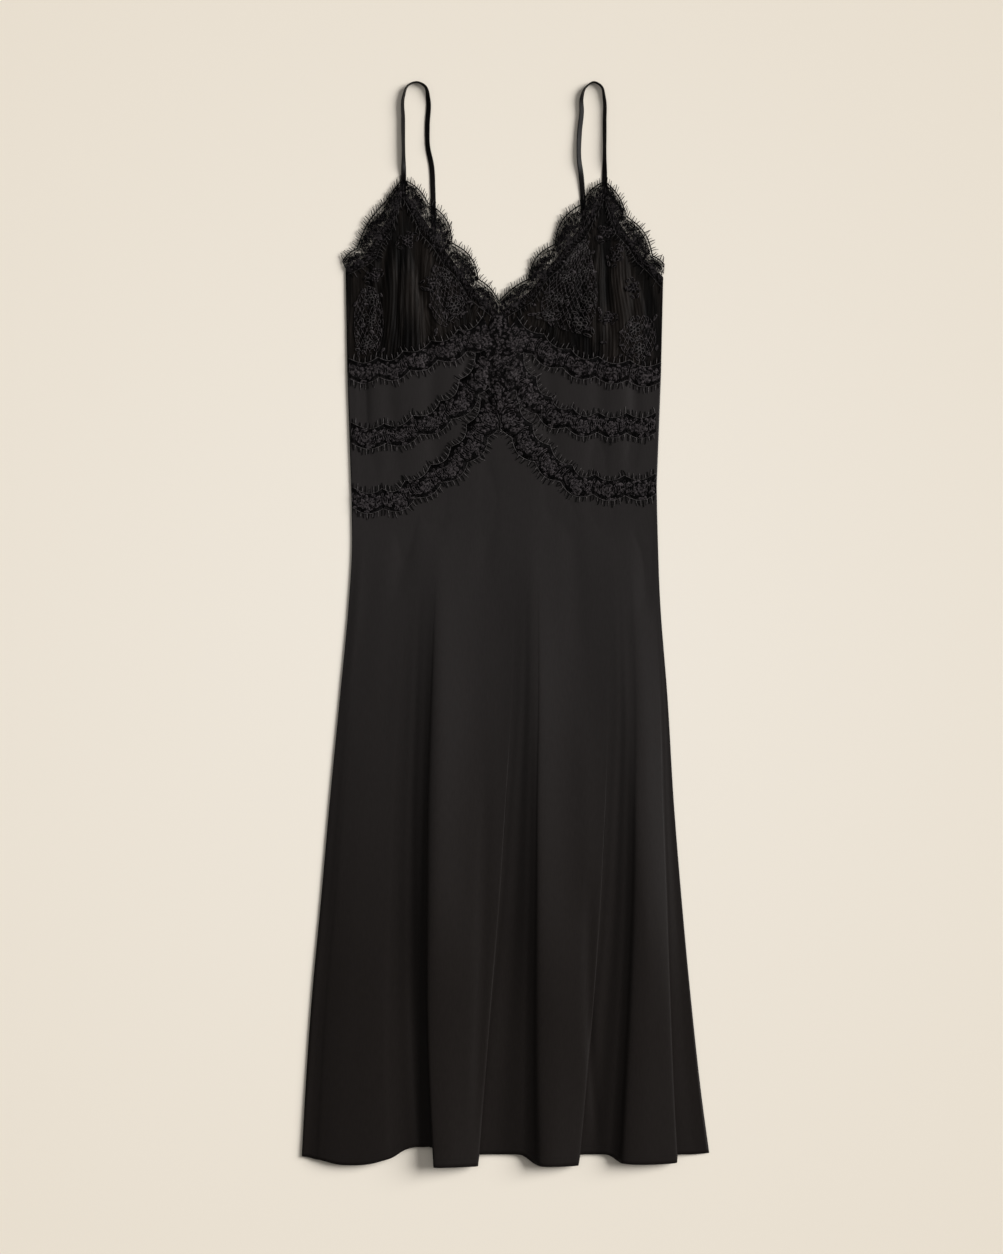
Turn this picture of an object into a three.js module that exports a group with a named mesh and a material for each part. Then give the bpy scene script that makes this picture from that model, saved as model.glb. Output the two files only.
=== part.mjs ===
// A slip dress laid flat, face up: a front and a back of satin lying on each other, gathered
// cups, scalloped eyelash-lace trims and bands, and two ribbon straps. Millimetres, +Z up,
// straps towards +Y, the wearer's right side at -X. The back lies on the plane z = 0.
import * as THREE from "three";

// Walls and gaps
const CLOTH = 1.0; // thickness of every cloth and lace wall
const SEAM = 0.3; // gap between pieces that meet at a seam
const LACE_LIFT = 0.4; // gap under lace that lies on a panel
const FRONT_LOW = CLOTH + SEAM + CLOTH / 2; // middle of a front wall that lies on the back
const LACE_LOW = 2.1; // middle of the lace wall at its free border, clear of a strap below
const LACE_UP = CLOTH + LACE_LIFT; // from the middle of a panel to the middle of lace on it
const NEARLY_LEVEL = 0.95; // walls this level or more are as thick as cloth straight down

// Outline of the body of the dress, from the armholes down to the hem
const OUTLINE = [
  { y: 427, left: -188, right: 186 },
  { y: 323, left: -187, right: 183 },
  { y: 264, left: -183, right: 177 },
  { y: 146, left: -182, right: 177.5 },
  { y: 87, left: -181.5, right: 179.5 },
  { y: 28, left: -185, right: 182 },
  { y: -90, left: -196, right: 191 },
  { y: -208, left: -207.5, right: 198 },
  { y: -326, left: -218, right: 207.5 },
  { y: -444, left: -229, right: 218.5 },
  { y: -562, left: -237, right: 231.5 },
  { y: -628, left: -240.5, right: 240.5 },
];

// Seam from the cups to the midriff, and from the midriff to the skirt
const BUST_SEAM = [
  { x: -187, y: 298 },
  { x: -137, y: 301 },
  { x: -90, y: 317 },
  { x: -45, y: 333 },
  { x: -8, y: 350 },
  { x: 34, y: 331 },
  { x: 87, y: 304 },
  { x: 134, y: 297 },
  { x: 183, y: 293 },
];
const HIP_SEAM = [
  { x: -182, y: 146 },
  { x: -134, y: 147 },
  { x: -96, y: 165 },
  { x: -60, y: 190 },
  { x: -33, y: 219 },
  { x: -7, y: 241 },
  { x: 20, y: 218 },
  { x: 52, y: 189 },
  { x: 87, y: 165 },
  { x: 129, y: 160 },
  { x: 178, y: 162 },
];

// Height of the front over the back: a slack midriff and two soft cups
const MIDRIFF_RISE = 2.4;
const MIDRIFF_Y = 270; // where the midriff stands highest
const MIDRIFF_REACH = 130; // how far up and down it dies out
const SIDE_FADE = 45; // from a side edge to the full rise
const CUP_RISE = 6;
const CUP_CENTRES = [
  { x: -124, y: 376 },
  { x: 110, y: 372 },
];
const CUP_SPREAD = { x: 36, y: 40 };

// Folds of the skirt, one row for each raised lobe at the hem. Crown edges are given at the
// hem and where the fold dies out; a flank runs outwards and tucks back under the crown. The
// crown's hem hangs lower in its middle by its sag.
const FOLDS = [
  {
    hemFrom: -217, hemTo: -144, topFrom: -165, topTo: -96, height: 11, lowest: -638.2, sag: 6,
    leftRun: 17, leftTuck: 0, rightRun: 35, rightTuck: 0, valley: -617,
  },
  {
    hemFrom: -85, hemTo: -33, topFrom: -68, topTo: -30, height: 14, lowest: -639.4, sag: 0.6,
    leftRun: 3, leftTuck: 8, rightRun: 3, rightTuck: 7, valley: -625.5,
  },
  {
    hemFrom: 41, hemTo: 85.5, topFrom: 10, topTo: 32, height: 12, lowest: -639, sag: 1,
    leftRun: 26, leftTuck: 0, rightRun: 3, rightTuck: 7, valley: -625.5,
  },
  {
    hemFrom: 139, hemTo: 201, topFrom: 99, topTo: 160, height: 9, lowest: -636.6, sag: 1.5,
    leftRun: 21, leftTuck: 0, rightRun: 3, rightTuck: 5, valley: -625.5,
  },
];
const FOLD_TOP = 60; // the folds die out here
const HEM_CORNER = { left: -628, right: -624 };
const CROWN_EDGE = 0.75; // height of a crown's edge, as a share of its middle
const FLANK_STEPS = [0.33, 0.67, 1];
const CROWN_STEPS = [0, 0.3, 0.7, 1];
const SIDEWAYS_EASE = 1.8; // folds swing to their place at the hem late
const SKIRT_ROWS = 12;

// The same columns run through cups, midriff and skirt, so that their seams match
const COLUMNS = { left: 22, right: 23 }; // on either side of the centre front
const MIDRIFF_ROWS = 5;
const PLEAT_COLUMNS = 5; // from one upright pleat of the midriff to the next
const PLEAT_DEPTH = 0.6; // as a share of the midriff's slack

// Back panel: plain, inside the front's outline, with a low top edge
const BACK_INSET = 1.5;
const BACK_STEPS = { across: 18, down: 12 };
const BACK_ARM_DROP = 4; // from the top edge's end to the first point of the side edge
const BACK_HEM = -612;
const BACK_TOP = [
  { x: -186.5, y: 419 },
  { x: -149, y: 409 },
  { x: -83, y: 392 },
  { x: -42, y: 375 },
  { x: -7, y: 365 },
  { x: 28, y: 374 },
  { x: 91, y: 391 },
  { x: 134, y: 399 },
  { x: 184, y: 407 },
];

// Scalloped trims, from left to right. A border runs from cusp to cusp and bulges outwards.
const TRIMS = [
  {
    name: "arm_left",
    border: [
      { x: -192.5, y: 427, bulge: 2 },
      { x: -175.5, y: 442.5, bulge: 4.5 },
      { x: -141.5, y: 498, bulge: 0.5 },
      { x: -122.5, y: 523.5 },
    ],
    inner: [
      { x: -186, y: 412 },
      { x: -161, y: 424 },
      { x: -145, y: 448 },
      { x: -131, y: 474 },
      { x: -122.3, y: 503 },
    ],
  },
  {
    name: "neck_left",
    border: [
      { x: -120.8, y: 524, bulge: 4 },
      { x: -92, y: 496, bulge: 8.5 },
      { x: -63.5, y: 449, bulge: 8 },
      { x: -32.5, y: 406.5, bulge: 3 },
      { x: -8.4, y: 380.5 },
    ],
    inner: [
      { x: -121.4, y: 503 },
      { x: -101, y: 463 },
      { x: -79, y: 433 },
      { x: -56, y: 403 },
      { x: -36, y: 377 },
      { x: -8.4, y: 356 },
    ],
  },
  {
    name: "neck_right",
    border: [
      { x: -7.6, y: 380.5, bulge: 2.5 },
      { x: 27, y: 406.5, bulge: 8 },
      { x: 58, y: 447.5, bulge: 8.5 },
      { x: 90, y: 495, bulge: 4 },
      { x: 116, y: 521.5 },
    ],
    inner: [
      { x: -7.6, y: 356 },
      { x: 29, y: 379 },
      { x: 50, y: 405 },
      { x: 73, y: 430 },
      { x: 97, y: 462 },
      { x: 116, y: 500 },
    ],
  },
  {
    name: "arm_right",
    border: [
      { x: 117.2, y: 521.5, bulge: 4.5 },
      { x: 142, y: 480.5, bulge: 7 },
      { x: 173, y: 434, bulge: 1 },
      { x: 187, y: 423.5 },
    ],
    inner: [
      { x: 117, y: 500 },
      { x: 127, y: 468 },
      { x: 147, y: 438 },
      { x: 166, y: 415 },
      { x: 184.5, y: 396 },
    ],
  },
];
const CLOTH_EDGE = 0.46; // where a cup's own edge lies, from a trim's inner border to its cusps
const HELD_UP = 0.53; // a trim rests on the cup up to here and droops from here on
const GAP_PITCH = 12; // along the border, one gap and the bar beside it
const GAP_SHARE = 0.62; // of that pitch
// Rows across a trim, from its border in: solid border, gaps, bar, gaps, and what lies on the cup
const TRIM_ROWS = [1, 0.91, 0.75, 0.69, HELD_UP, CLOTH_EDGE, 0];
const OUTER_GAPS = 1;
const INNER_GAPS = 3;

// Eyelash fringe along the trims; its strands keep clear of the cusps
const LASH = { pitch: 2.9, length: 6.5, root: 0.8, strip: 1.2, thickness: 0.6, clear: 4 };
const END_CLEAR = 0.14; // part of the first and last scallop of a trim without fringe
const TINY = 0.02; // part of a scallop over which its direction is taken

// Lace bands, by their middle line from left to right
const BANDS = [
  {
    name: "bust_left",
    line: [[-184.5, 298], [-137, 301], [-90, 317], [-45, 333], [-19, 346]],
  },
  {
    name: "bust_right",
    line: [[4, 346], [18, 338], [46, 322], [87, 304], [134, 297], [182, 293]],
  },
  {
    name: "waist_left",
    line: [[-182, 222], [-137, 222], [-96, 235], [-60, 256], [-38, 281], [-20, 311]],
  },
  {
    name: "waist_right",
    line: [[5, 311], [23, 279], [46, 253], [81, 238], [129, 234], [176.5, 234]],
  },
  {
    name: "hip_left",
    line: [[-181, 146], [-134, 146], [-96, 165], [-60, 190], [-35, 220], [-14, 258]],
  },
  {
    name: "hip_right",
    line: [[-1, 258], [21, 220], [52, 189], [87, 165], [129, 160], [177, 162]],
  },
];
const BAND = { half: 12, bulge: 6.5, pitch: 36, stepsPerScallop: 4, taper: 0.5 };

// Centre-front lace, by its half width at each height
const CENTRE_X = -7.6;
const CENTRE_STEPS = 10;
const CENTRE_LACE = [
  { y: 350, half: 5 },
  { y: 336, half: 9 },
  { y: 312, half: 9 },
  { y: 290, half: 8 },
  { y: 262, half: 5 },
  { y: 246, half: 1 },
];

// Cups, gathered at every second column
const GATHER_DEPTH = 1.4;
const CUP_ROWS = 8;
const EDGE_STEPS = 4; // points of a cup's top edge for each scallop of its trims

// Flower-lace patches on the cups: corners clockwise from the upper left
const PATCHES = [
  { name: "left_inner", corners: [[-88, 423], [-70, 418], [-42, 372], [-84, 346]] },
  { name: "left_outer", corners: [[-176, 391], [-148, 400], [-142, 336], [-176, 322]] },
  { name: "right_inner", corners: [[79, 437], [98, 455], [98, 332], [30, 366]] },
  { name: "right_outer", corners: [[138, 354], [172, 366], [172, 322], [138, 322]] },
];
const PATCH_STEPS = 5;

// Straps: middle line of the ribbon and its turn from lying flat, in degrees
const STRAP = { width: 6, steps: 34 };
const STRAPS = [
  {
    name: "strap_left",
    line: [
      { x: -120.5, y: 505, turn: 0 },
      { x: -120.5, y: 522, turn: 0 },
      { x: -120.5, y: 548, turn: 48 },
      { x: -121, y: 595, turn: 50 },
      { x: -120.5, y: 622, turn: 66 },
      { x: -115, y: 635, turn: 82 },
      { x: -105, y: 638.7, turn: 84 },
      { x: -95.5, y: 634, turn: 70 },
      { x: -91.5, y: 618, turn: 35 },
      { x: -92.5, y: 588, turn: 25 },
      { x: -92, y: 563, turn: 30 },
      { x: -87.5, y: 540, turn: 12 },
      { x: -86, y: 512, turn: 0 },
      { x: -85, y: 470, turn: 0 },
      { x: -82.5, y: 393.5, turn: 0 },
    ],
  },
  {
    name: "strap_right",
    line: [
      { x: 91.5, y: 392, turn: 0 },
      { x: 92, y: 470, turn: 0 },
      { x: 91, y: 500, turn: 0 },
      { x: 89, y: 528, turn: 14 },
      { x: 86.5, y: 548, turn: 34 },
      { x: 87, y: 580, turn: 28 },
      { x: 89.5, y: 605, turn: 34 },
      { x: 89.5, y: 620, turn: 50 },
      { x: 94, y: 632, turn: 78 },
      { x: 104, y: 638.7, turn: 84 },
      { x: 112.5, y: 634, turn: 78 },
      { x: 116, y: 620, turn: 60 },
      { x: 116.5, y: 590, turn: 50 },
      { x: 116.5, y: 545, turn: 46 },
      { x: 116.5, y: 520, turn: 0 },
      { x: 116.5, y: 503, turn: 0 },
    ],
  },
];

const SATIN = new THREE.MeshStandardMaterial({ color: 0x1d1c1c, roughness: 0.45, metalness: 0 });
const LACE = new THREE.MeshStandardMaterial({ color: 0x24222a, roughness: 0.7, metalness: 0 });

const { lerp, clamp, smoothstep, degToRad } = THREE.MathUtils;

// A smooth curve through one or more columns of a table, looked up by its key column
function tableCurve(rows, key, columns) {
  const sorted = [...rows].sort((a, b) => a[key] - b[key]);
  const keys = sorted.map((row) => row[key]);
  const values = sorted.flatMap((row) => columns.map((column) => row[column]));
  const curve = new THREE.CubicInterpolant(keys, values, columns.length);
  return (at) => {
    const found = curve.evaluate(at);
    return Object.fromEntries(columns.map((column, i) => [column, found[i]]));
  };
}

const outlineAt = tableCurve(OUTLINE, "y", ["left", "right"]);
const bustSeamAt = tableCurve(BUST_SEAM, "x", ["y"]);
const hipSeamAt = tableCurve(HIP_SEAM, "x", ["y"]);
const centreHalfAt = tableCurve(CENTRE_LACE, "y", ["half"]);

// Middle of a slack front wall at a place; gathers and pleats go down from here
function frontHeight(x, y) {
  const { left, right } = outlineAt(y);
  const fromSide = smoothstep(Math.min(x - left, right - x), 0, SIDE_FADE);
  const upright = Math.max(0, 1 - Math.abs(y - MIDRIFF_Y) / MIDRIFF_REACH);
  const midriff = MIDRIFF_RISE * fromSide * smoothstep(upright, 0, 1);
  const cups = CUP_CENTRES.map(
    (cup) => ((x - cup.x) / CUP_SPREAD.x) ** 2 + ((y - cup.y) / CUP_SPREAD.y) ** 2,
  ).reduce((sum, away) => sum + CUP_RISE * Math.exp(-away / 2), 0);
  return FRONT_LOW + midriff + cups * fromSide;
}

// A closed wall of even thickness round a grid of middle points. Columns run to the right and
// rows downwards, seen from above. isGap(row, column) leaves a cell of the grid open.
function wall(rows, isGap = () => false) {
  const height = rows.length;
  const width = rows[0].length;
  const position = [];
  for (const side of [1, -1]) {
    rows.forEach((row, r) =>
      row.forEach((point, c) => {
        const along = row[Math.min(c + 1, width - 1)].clone().sub(row[Math.max(c - 1, 0)]);
        const below = rows[Math.min(r + 1, height - 1)][c];
        const down = below.clone().sub(rows[Math.max(r - 1, 0)][c]);
        const normal = down.cross(along).normalize();
        if (normal.z > NEARLY_LEVEL) normal.set(0, 0, 1);
        position.push(...point.clone().addScaledVector(normal, (side * CLOTH) / 2).toArray());
      }),
    );
  }
  const under = width * height;
  const at = (r, c) => r * width + c;
  const isOpen = (r, c) => r < 0 || c < 0 || r >= height - 1 || c >= width - 1 || isGap(r, c);
  const index = [];
  for (let r = 0; r < height - 1; r++) {
    for (let c = 0; c < width - 1; c++) {
      if (isOpen(r, c)) continue;
      const corners = [at(r, c), at(r + 1, c), at(r + 1, c + 1), at(r, c + 1)];
      const [a, b, d, e] = corners;
      index.push(a, b, d, a, d, e);
      index.push(...[a, d, b, a, e, d].map((i) => i + under));
      const beyond = [isOpen(r, c - 1), isOpen(r + 1, c), isOpen(r, c + 1), isOpen(r - 1, c)];
      beyond.forEach((open, i) => {
        const p = corners[i];
        const q = corners[(i + 1) % 4];
        if (open) index.push(q, p, p + under, q, p + under, q + under);
      });
    }
  }
  return new THREE.BufferGeometry()
    .setAttribute("position", new THREE.Float32BufferAttribute(position, 3))
    .setIndex(index);
}

function piece(name, geometry, material) {
  const mesh = new THREE.Mesh(geometry, material);
  mesh.name = name;
  return mesh;
}

// Place of a front column on a seam
function seamX(seam, column) {
  const past = column - COLUMNS.left;
  return past < 0
    ? lerp(seam[0].x, CENTRE_X, column / COLUMNS.left)
    : lerp(CENTRE_X, seam.at(-1).x, past / COLUMNS.right);
}

const range = (count) => Array.from({ length: count }, (_, i) => i);
const steps = (count) => range(count + 1).map((i) => i / count);
const splineOf = (points) => new THREE.SplineCurve(points.map(([x, y]) => new THREE.Vector2(x, y)));

// Back panel, an outline cut from flat cloth
function backPanel() {
  const topAt = tableCurve(BACK_TOP, "x", ["y"]);
  const [first, last] = [BACK_TOP[0].x, BACK_TOP.at(-1).x];
  const top = steps(BACK_STEPS.across).map((s) => lerp(first, last, s));
  const arm = BACK_TOP.at(-1).y - BACK_ARM_DROP;
  const downs = steps(BACK_STEPS.down).map((s) => lerp(arm, BACK_HEM, s));
  const shape = new THREE.Shape();
  top.forEach((x, i) => shape[i ? "lineTo" : "moveTo"](x, topAt(x).y));
  downs.forEach((y) => shape.lineTo(outlineAt(y).right - BACK_INSET, y));
  [...downs].reverse().forEach((y) => shape.lineTo(outlineAt(y).left + BACK_INSET, y));
  return new THREE.ExtrudeGeometry(shape, { depth: CLOTH, bevelEnabled: false });
}

// Places across the skirt, in the order in which the cloth runs through its folds
function skirtStations() {
  const [low, high] = [OUTLINE.at(-1), outlineAt(FOLD_TOP)];
  const stations = [{ hem: low.left, top: high.left, rise: 0, reach: HEM_CORNER.left }];
  const flank = (fold, side, share, valley) => {
    const [edge, run, tuck] =
      side < 0 ? [fold.hemFrom, fold.leftRun, fold.leftTuck] : [fold.hemTo, fold.rightRun, fold.rightTuck];
    return {
      hem: edge + side * (run * share - tuck * Math.sin(Math.PI * share)),
      rise: (fold.height * CROWN_EDGE * (1 + Math.cos(Math.PI * share))) / 2,
      reach: lerp(fold.lowest + fold.sag, valley, smoothstep(share, 0, 1)),
    };
  };
  FOLDS.forEach((fold, i) => {
    const before = i ? FOLDS[i - 1].valley : HEM_CORNER.left;
    const left = FLANK_STEPS.map((share) => flank(fold, -1, share, before)).reverse();
    const right = FLANK_STEPS.map((share) => flank(fold, 1, share, fold.valley));
    const crown = CROWN_STEPS.map((share) => ({
      hem: lerp(fold.hemFrom, fold.hemTo, share),
      top: lerp(fold.topFrom, fold.topTo, share),
      rise: fold.height * lerp(CROWN_EDGE, 1, Math.sin(Math.PI * share)),
      reach: fold.lowest + fold.sag * (1 - Math.sin(Math.PI * share)),
    }));
    const nextHem = FOLDS[i + 1]
      ? FOLDS[i + 1].hemFrom - FOLDS[i + 1].leftRun
      : low.right;
    const valley = { hem: (right.at(-1).hem + nextHem) / 2, rise: 0, reach: fold.valley };
    stations.push(...left, ...crown, ...right, valley);
  });
  stations.push({ hem: low.right, top: high.right, rise: 0, reach: HEM_CORNER.right });
  // Between crowns the cloth is spread evenly where the folds die out
  let known = 0;
  stations.forEach((station, i) => {
    if (station.top === undefined) return;
    for (let k = known + 1; k < i; k++) {
      const share = (k - known) / (i - known);
      stations[k].top = lerp(stations[known].top, station.top, share);
    }
    known = i;
  });
  return stations;
}

// Front skirt, hung from the hip seam and folded in soft lobes at the hem
function skirtFront() {
  const [hem, waist] = [OUTLINE.at(-1), outlineAt(FOLD_TOP)];
  const columns = skirtStations().map((station) => ({
    ...station,
    hemShare: (station.hem - hem.left) / (hem.right - hem.left),
    topShare: (station.top - waist.left) / (waist.right - waist.left),
  }));
  const rows = steps(SKIRT_ROWS).map((down) =>
    columns.map((column, c) => {
      const x0 = seamX(HIP_SEAM, c);
      const y0 = hipSeamAt(x0).y - SEAM / 2;
      const y = lerp(y0, column.reach, down);
      const seam = outlineAt(y0);
      const seamShare = (x0 - seam.left) / (seam.right - seam.left);
      const settled = clamp((y0 - y) / (y0 - FOLD_TOP), 0, 1);
      const grown = clamp((FOLD_TOP - y) / (FOLD_TOP - column.reach), 0, 1);
      const upper = lerp(seamShare, column.topShare, settled);
      const share = lerp(upper, column.hemShare, grown ** SIDEWAYS_EASE);
      const { left, right } = outlineAt(y);
      const x = lerp(left, right, share);
      return new THREE.Vector3(x, y, frontHeight(x, y) + column.rise * grown);
    }),
  );
  return wall(rows);
}

// Midriff, between the two seams, with shallow upright pleats
function midriff() {
  const rows = steps(MIDRIFF_ROWS).map((down) =>
    range(COLUMNS.left + COLUMNS.right + 1).map((c) => {
      const [topX, lowX] = [seamX(BUST_SEAM, c), seamX(HIP_SEAM, c)];
      const x = lerp(topX, lowX, down);
      const y = lerp(bustSeamAt(topX).y - SEAM / 2, hipSeamAt(lowX).y + SEAM / 2, down);
      const slack = frontHeight(x, y) - FRONT_LOW;
      const wave = Math.sin((Math.PI * c) / PLEAT_COLUMNS) ** 2;
      const pleat = PLEAT_DEPTH * slack * Math.sin(Math.PI * down) * wave;
      return new THREE.Vector3(x, y, FRONT_LOW + slack - pleat);
    }),
  );
  return wall(rows);
}

// A point of a scalloped border; s counts scallops from the first cusp
function borderPoint(cusps, s, bulges = 1) {
  const i = Math.min(Math.floor(s), cusps.length - 2);
  const q = s - i;
  const [from, to] = [cusps[i], cusps[i + 1]];
  const chord = new THREE.Vector2(to.x - from.x, to.y - from.y);
  const outward = new THREE.Vector2(-chord.y, chord.x).normalize();
  const point = new THREE.Vector2(from.x, from.y).addScaledVector(chord, q);
  return point.addScaledVector(outward, bulges * from.bulge * Math.sin(Math.PI * q));
}

// Scallops and the columns that a trim is cut into: bars and gaps in turn
function trimColumns(cusps) {
  const columns = [];
  range(cusps.length - 1).forEach((i) => {
    const length = Math.hypot(cusps[i + 1].x - cusps[i].x, cusps[i + 1].y - cusps[i].y);
    const gaps = Math.max(1, Math.round(length / GAP_PITCH));
    const bar = (1 - GAP_SHARE) / 2;
    range(gaps).forEach((g) => {
      columns.push({ s: i + g / gaps, gap: false });
      columns.push({ s: i + (g + bar) / gaps, gap: true, end: g === 0 || g === gaps - 1 });
      columns.push({ s: i + (g + 1 - bar) / gaps, gap: false });
    });
  });
  columns.push({ s: cusps.length - 1, gap: false });
  return columns;
}

function trimInner(trim) {
  const curve = splineOf(trim.inner.map(({ x, y }) => [x, y]));
  return (s) => curve.getPoint(s / (trim.border.length - 1));
}

// A trim: lace that lies on the cup's edge and reaches past it, with its larger gaps cut through
function trimLace(trim) {
  const columns = trimColumns(trim.border);
  const innerAt = trimInner(trim);
  const rows = TRIM_ROWS.map((share) =>
    columns.map(({ s }) => {
      const inner = innerAt(s);
      const border = borderPoint(trim.border, s);
      const point = inner.clone().lerp(border, share);
      const edge = inner.clone().lerp(border, HELD_UP);
      const free = clamp((share - HELD_UP) / (1 - HELD_UP), 0, 1);
      const over = free ? edge : point;
      const z = lerp(frontHeight(over.x, over.y) + LACE_UP, LACE_LOW, free);
      return new THREE.Vector3(point.x, point.y, z);
    }),
  );
  const isGap = (r, c) =>
    columns[c].gap && (r === INNER_GAPS || (r === OUTER_GAPS && !columns[c].end));
  return wall(rows, isGap);
}

// Eyelash fringe: a narrow strip that follows the border, with a row of thin strands
function lashes({ border: cusps }) {
  const scallops = cusps.length - 1;
  const beside = (s, distance) => {
    const [before, after] = [Math.max(0, s - TINY), Math.min(scallops, s + TINY)];
    const along = borderPoint(cusps, after).sub(borderPoint(cusps, before)).normalize();
    return borderPoint(cusps, s).add(new THREE.Vector2(-along.y, along.x).multiplyScalar(distance));
  };
  const points = [];
  range(scallops).forEach((i) => {
    const length = Math.hypot(cusps[i + 1].x - cusps[i].x, cusps[i + 1].y - cusps[i].y);
    const root = LASH.root / length / 2;
    const [from, to] = [i ? 0 : END_CLEAR, i < scallops - 1 ? 0 : END_CLEAR];
    const clear = LASH.clear / length;
    const count = Math.floor(((1 - from - to - 2 * clear) * length) / LASH.pitch);
    points.push(beside(Math.max(i, END_CLEAR), SEAM + LASH.strip));
    steps(count).forEach((share) => {
      const s = i + lerp(from + clear, 1 - to - clear, share);
      points.push(beside(s - root, SEAM + LASH.strip));
      points.push(beside(s, SEAM + LASH.strip + LASH.length));
      points.push(beside(s + root, SEAM + LASH.strip));
    });
  });
  points.push(beside(scallops - END_CLEAR, SEAM + LASH.strip));
  const ends = [END_CLEAR, scallops - END_CLEAR];
  const between = trimColumns(cusps).filter(({ s }) => s > ends[0] + TINY && s < ends[1] - TINY);
  const under = [ends[0], ...between.map(({ s }) => s), ends[1]].map((s) => beside(s, SEAM));
  const shape = new THREE.Shape([...points, ...under.reverse()]);
  const geometry = new THREE.ExtrudeGeometry(shape, { depth: LASH.thickness, bevelEnabled: false });
  return geometry.translate(0, 0, LACE_LOW - LASH.thickness / 2);
}

// A cup: gathers fan out from its arm and neck edges down to the bust seam
function cup(trims, firstColumn, columns, nudge) {
  const edge = trims.flatMap((trim) => {
    const innerAt = trimInner(trim);
    const scallops = trim.border.length - 1;
    return steps(EDGE_STEPS * scallops).map((share) => {
      const s = share * scallops;
      return innerAt(s).lerp(borderPoint(trim.border, s, 0), CLOTH_EDGE);
    });
  });
  const top = new THREE.SplineCurve(edge);
  const rows = steps(CUP_ROWS).map((down) =>
    range(columns + 1).map((c) => {
      const lowX = seamX(BUST_SEAM, firstColumn + c);
      const low = new THREE.Vector2(lowX, bustSeamAt(lowX).y + SEAM / 2);
      const { x, y } = top.getPointAt(c / columns).lerp(low, down);
      const high = frontHeight(x, y);
      const depth = Math.min(GATHER_DEPTH, high - FRONT_LOW) * (c % 2);
      const atCentre = firstColumn + c === COLUMNS.left;
      return new THREE.Vector3(atCentre ? x + nudge : x, y, high - depth);
    }),
  );
  return wall(rows);
}

// A lace band: both borders hang in the same scallops, and its end stops at the centre lace
function band({ line }) {
  const curve = splineOf(line);
  const scallops = Math.round(curve.getLength() / BAND.pitch);
  const columns = steps(scallops * BAND.stepsPerScallop);
  const onLeft = curve.getPointAt(0.5).x < CENTRE_X;
  const rows = [1, 0, -1].map((side) =>
    columns.map((s) => {
      const middle = curve.getPointAt(s);
      const along = curve.getTangentAt(s);
      const up = new THREE.Vector2(-along.y, along.x);
      const hang = BAND.bulge * (Math.abs(Math.sin(Math.PI * scallops * s)) - BAND.taper);
      const point = middle.addScaledVector(up, side * BAND.half - hang);
      const clear = SEAM + centreHalfAt(Math.max(point.y, CENTRE_LACE.at(-1).y)).half;
      point.x = onLeft
        ? Math.min(point.x, CENTRE_X - clear)
        : Math.max(point.x, CENTRE_X + clear);
      return new THREE.Vector3(point.x, point.y, frontHeight(point.x, point.y) + LACE_UP);
    }),
  );
  return wall(rows);
}

function centreLace() {
  const rows = steps(CENTRE_STEPS).map((down) => {
    const y = lerp(CENTRE_LACE[0].y, CENTRE_LACE.at(-1).y, down);
    return [-1, 0, 1].map((side) => {
      const x = CENTRE_X + side * centreHalfAt(y).half;
      return new THREE.Vector3(x, y, frontHeight(x, y) + LACE_UP);
    });
  });
  return wall(rows);
}

function patch({ corners }) {
  const [upLeft, upRight, lowRight, lowLeft] = corners.map(([x, y]) => new THREE.Vector2(x, y));
  const rows = steps(PATCH_STEPS).map((down) =>
    steps(PATCH_STEPS).map((across) => {
      const upper = upLeft.clone().lerp(upRight, across);
      const point = upper.lerp(lowLeft.clone().lerp(lowRight, across), down);
      return new THREE.Vector3(point.x, point.y, frontHeight(point.x, point.y) + LACE_UP);
    }),
  );
  return wall(rows);
}

// A ribbon strap that lies on the plane z = 0 and turns on its edge round the loop
function strap({ line }) {
  const points = line.map(({ x, y, turn }) => new THREE.Vector3(x, y, degToRad(turn)));
  const curve = new THREE.CatmullRomCurve3(points, false, "centripetal");
  const rows = [1, -1].map((side) =>
    steps(STRAP.steps).map((s) => {
      const { x, y, z: turn } = curve.getPointAt(s);
      const along = curve.getTangentAt(s).setZ(0).normalize();
      const half = STRAP.width / 2;
      const across = side * half * Math.cos(turn);
      const low = half * Math.abs(Math.sin(turn)) + (CLOTH / 2) * Math.abs(Math.cos(turn));
      return new THREE.Vector3(
        x - along.y * across,
        y + along.x * across,
        low + side * half * Math.sin(turn),
      );
    }),
  );
  return wall(rows);
}

const [armLeft, neckLeft, neckRight, armRight] = TRIMS;
const dress = new THREE.Group();
dress.add(
  piece("back", backPanel(), SATIN),
  piece("skirt_front", skirtFront(), SATIN),
  piece("midriff", midriff(), SATIN),
  piece("cup_left", cup([armLeft, neckLeft], 0, COLUMNS.left, -SEAM / 2), SATIN),
  piece("cup_right", cup([neckRight, armRight], COLUMNS.left, COLUMNS.right, SEAM / 2), SATIN),
  ...TRIMS.map((trim) => piece(`trim_${trim.name}`, trimLace(trim), LACE)),
  ...TRIMS.map((trim) => piece(`lashes_${trim.name}`, lashes(trim), LACE)),
  ...BANDS.map((made) => piece(`band_${made.name}`, band(made), LACE)),
  piece("lace_centre", centreLace(), LACE),
  ...PATCHES.map((made) => piece(`patch_${made.name}`, patch(made), LACE)),
  ...STRAPS.map((made) => piece(made.name, strap(made), SATIN)),
);

export default dress;
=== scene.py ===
# %% [markdown]
# # A slip dress, laid flat
# The dress lies face up on a pale table and the camera looks straight down on it. The front panels
# lie on the back panel, with cups that stay a little puffed and a skirt whose spare width rolls
# into soft folds at the hem. Every panel is a thin shell, and the lace is made from its threads.
# All lengths are in millimetres until a mesh is made.

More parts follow.
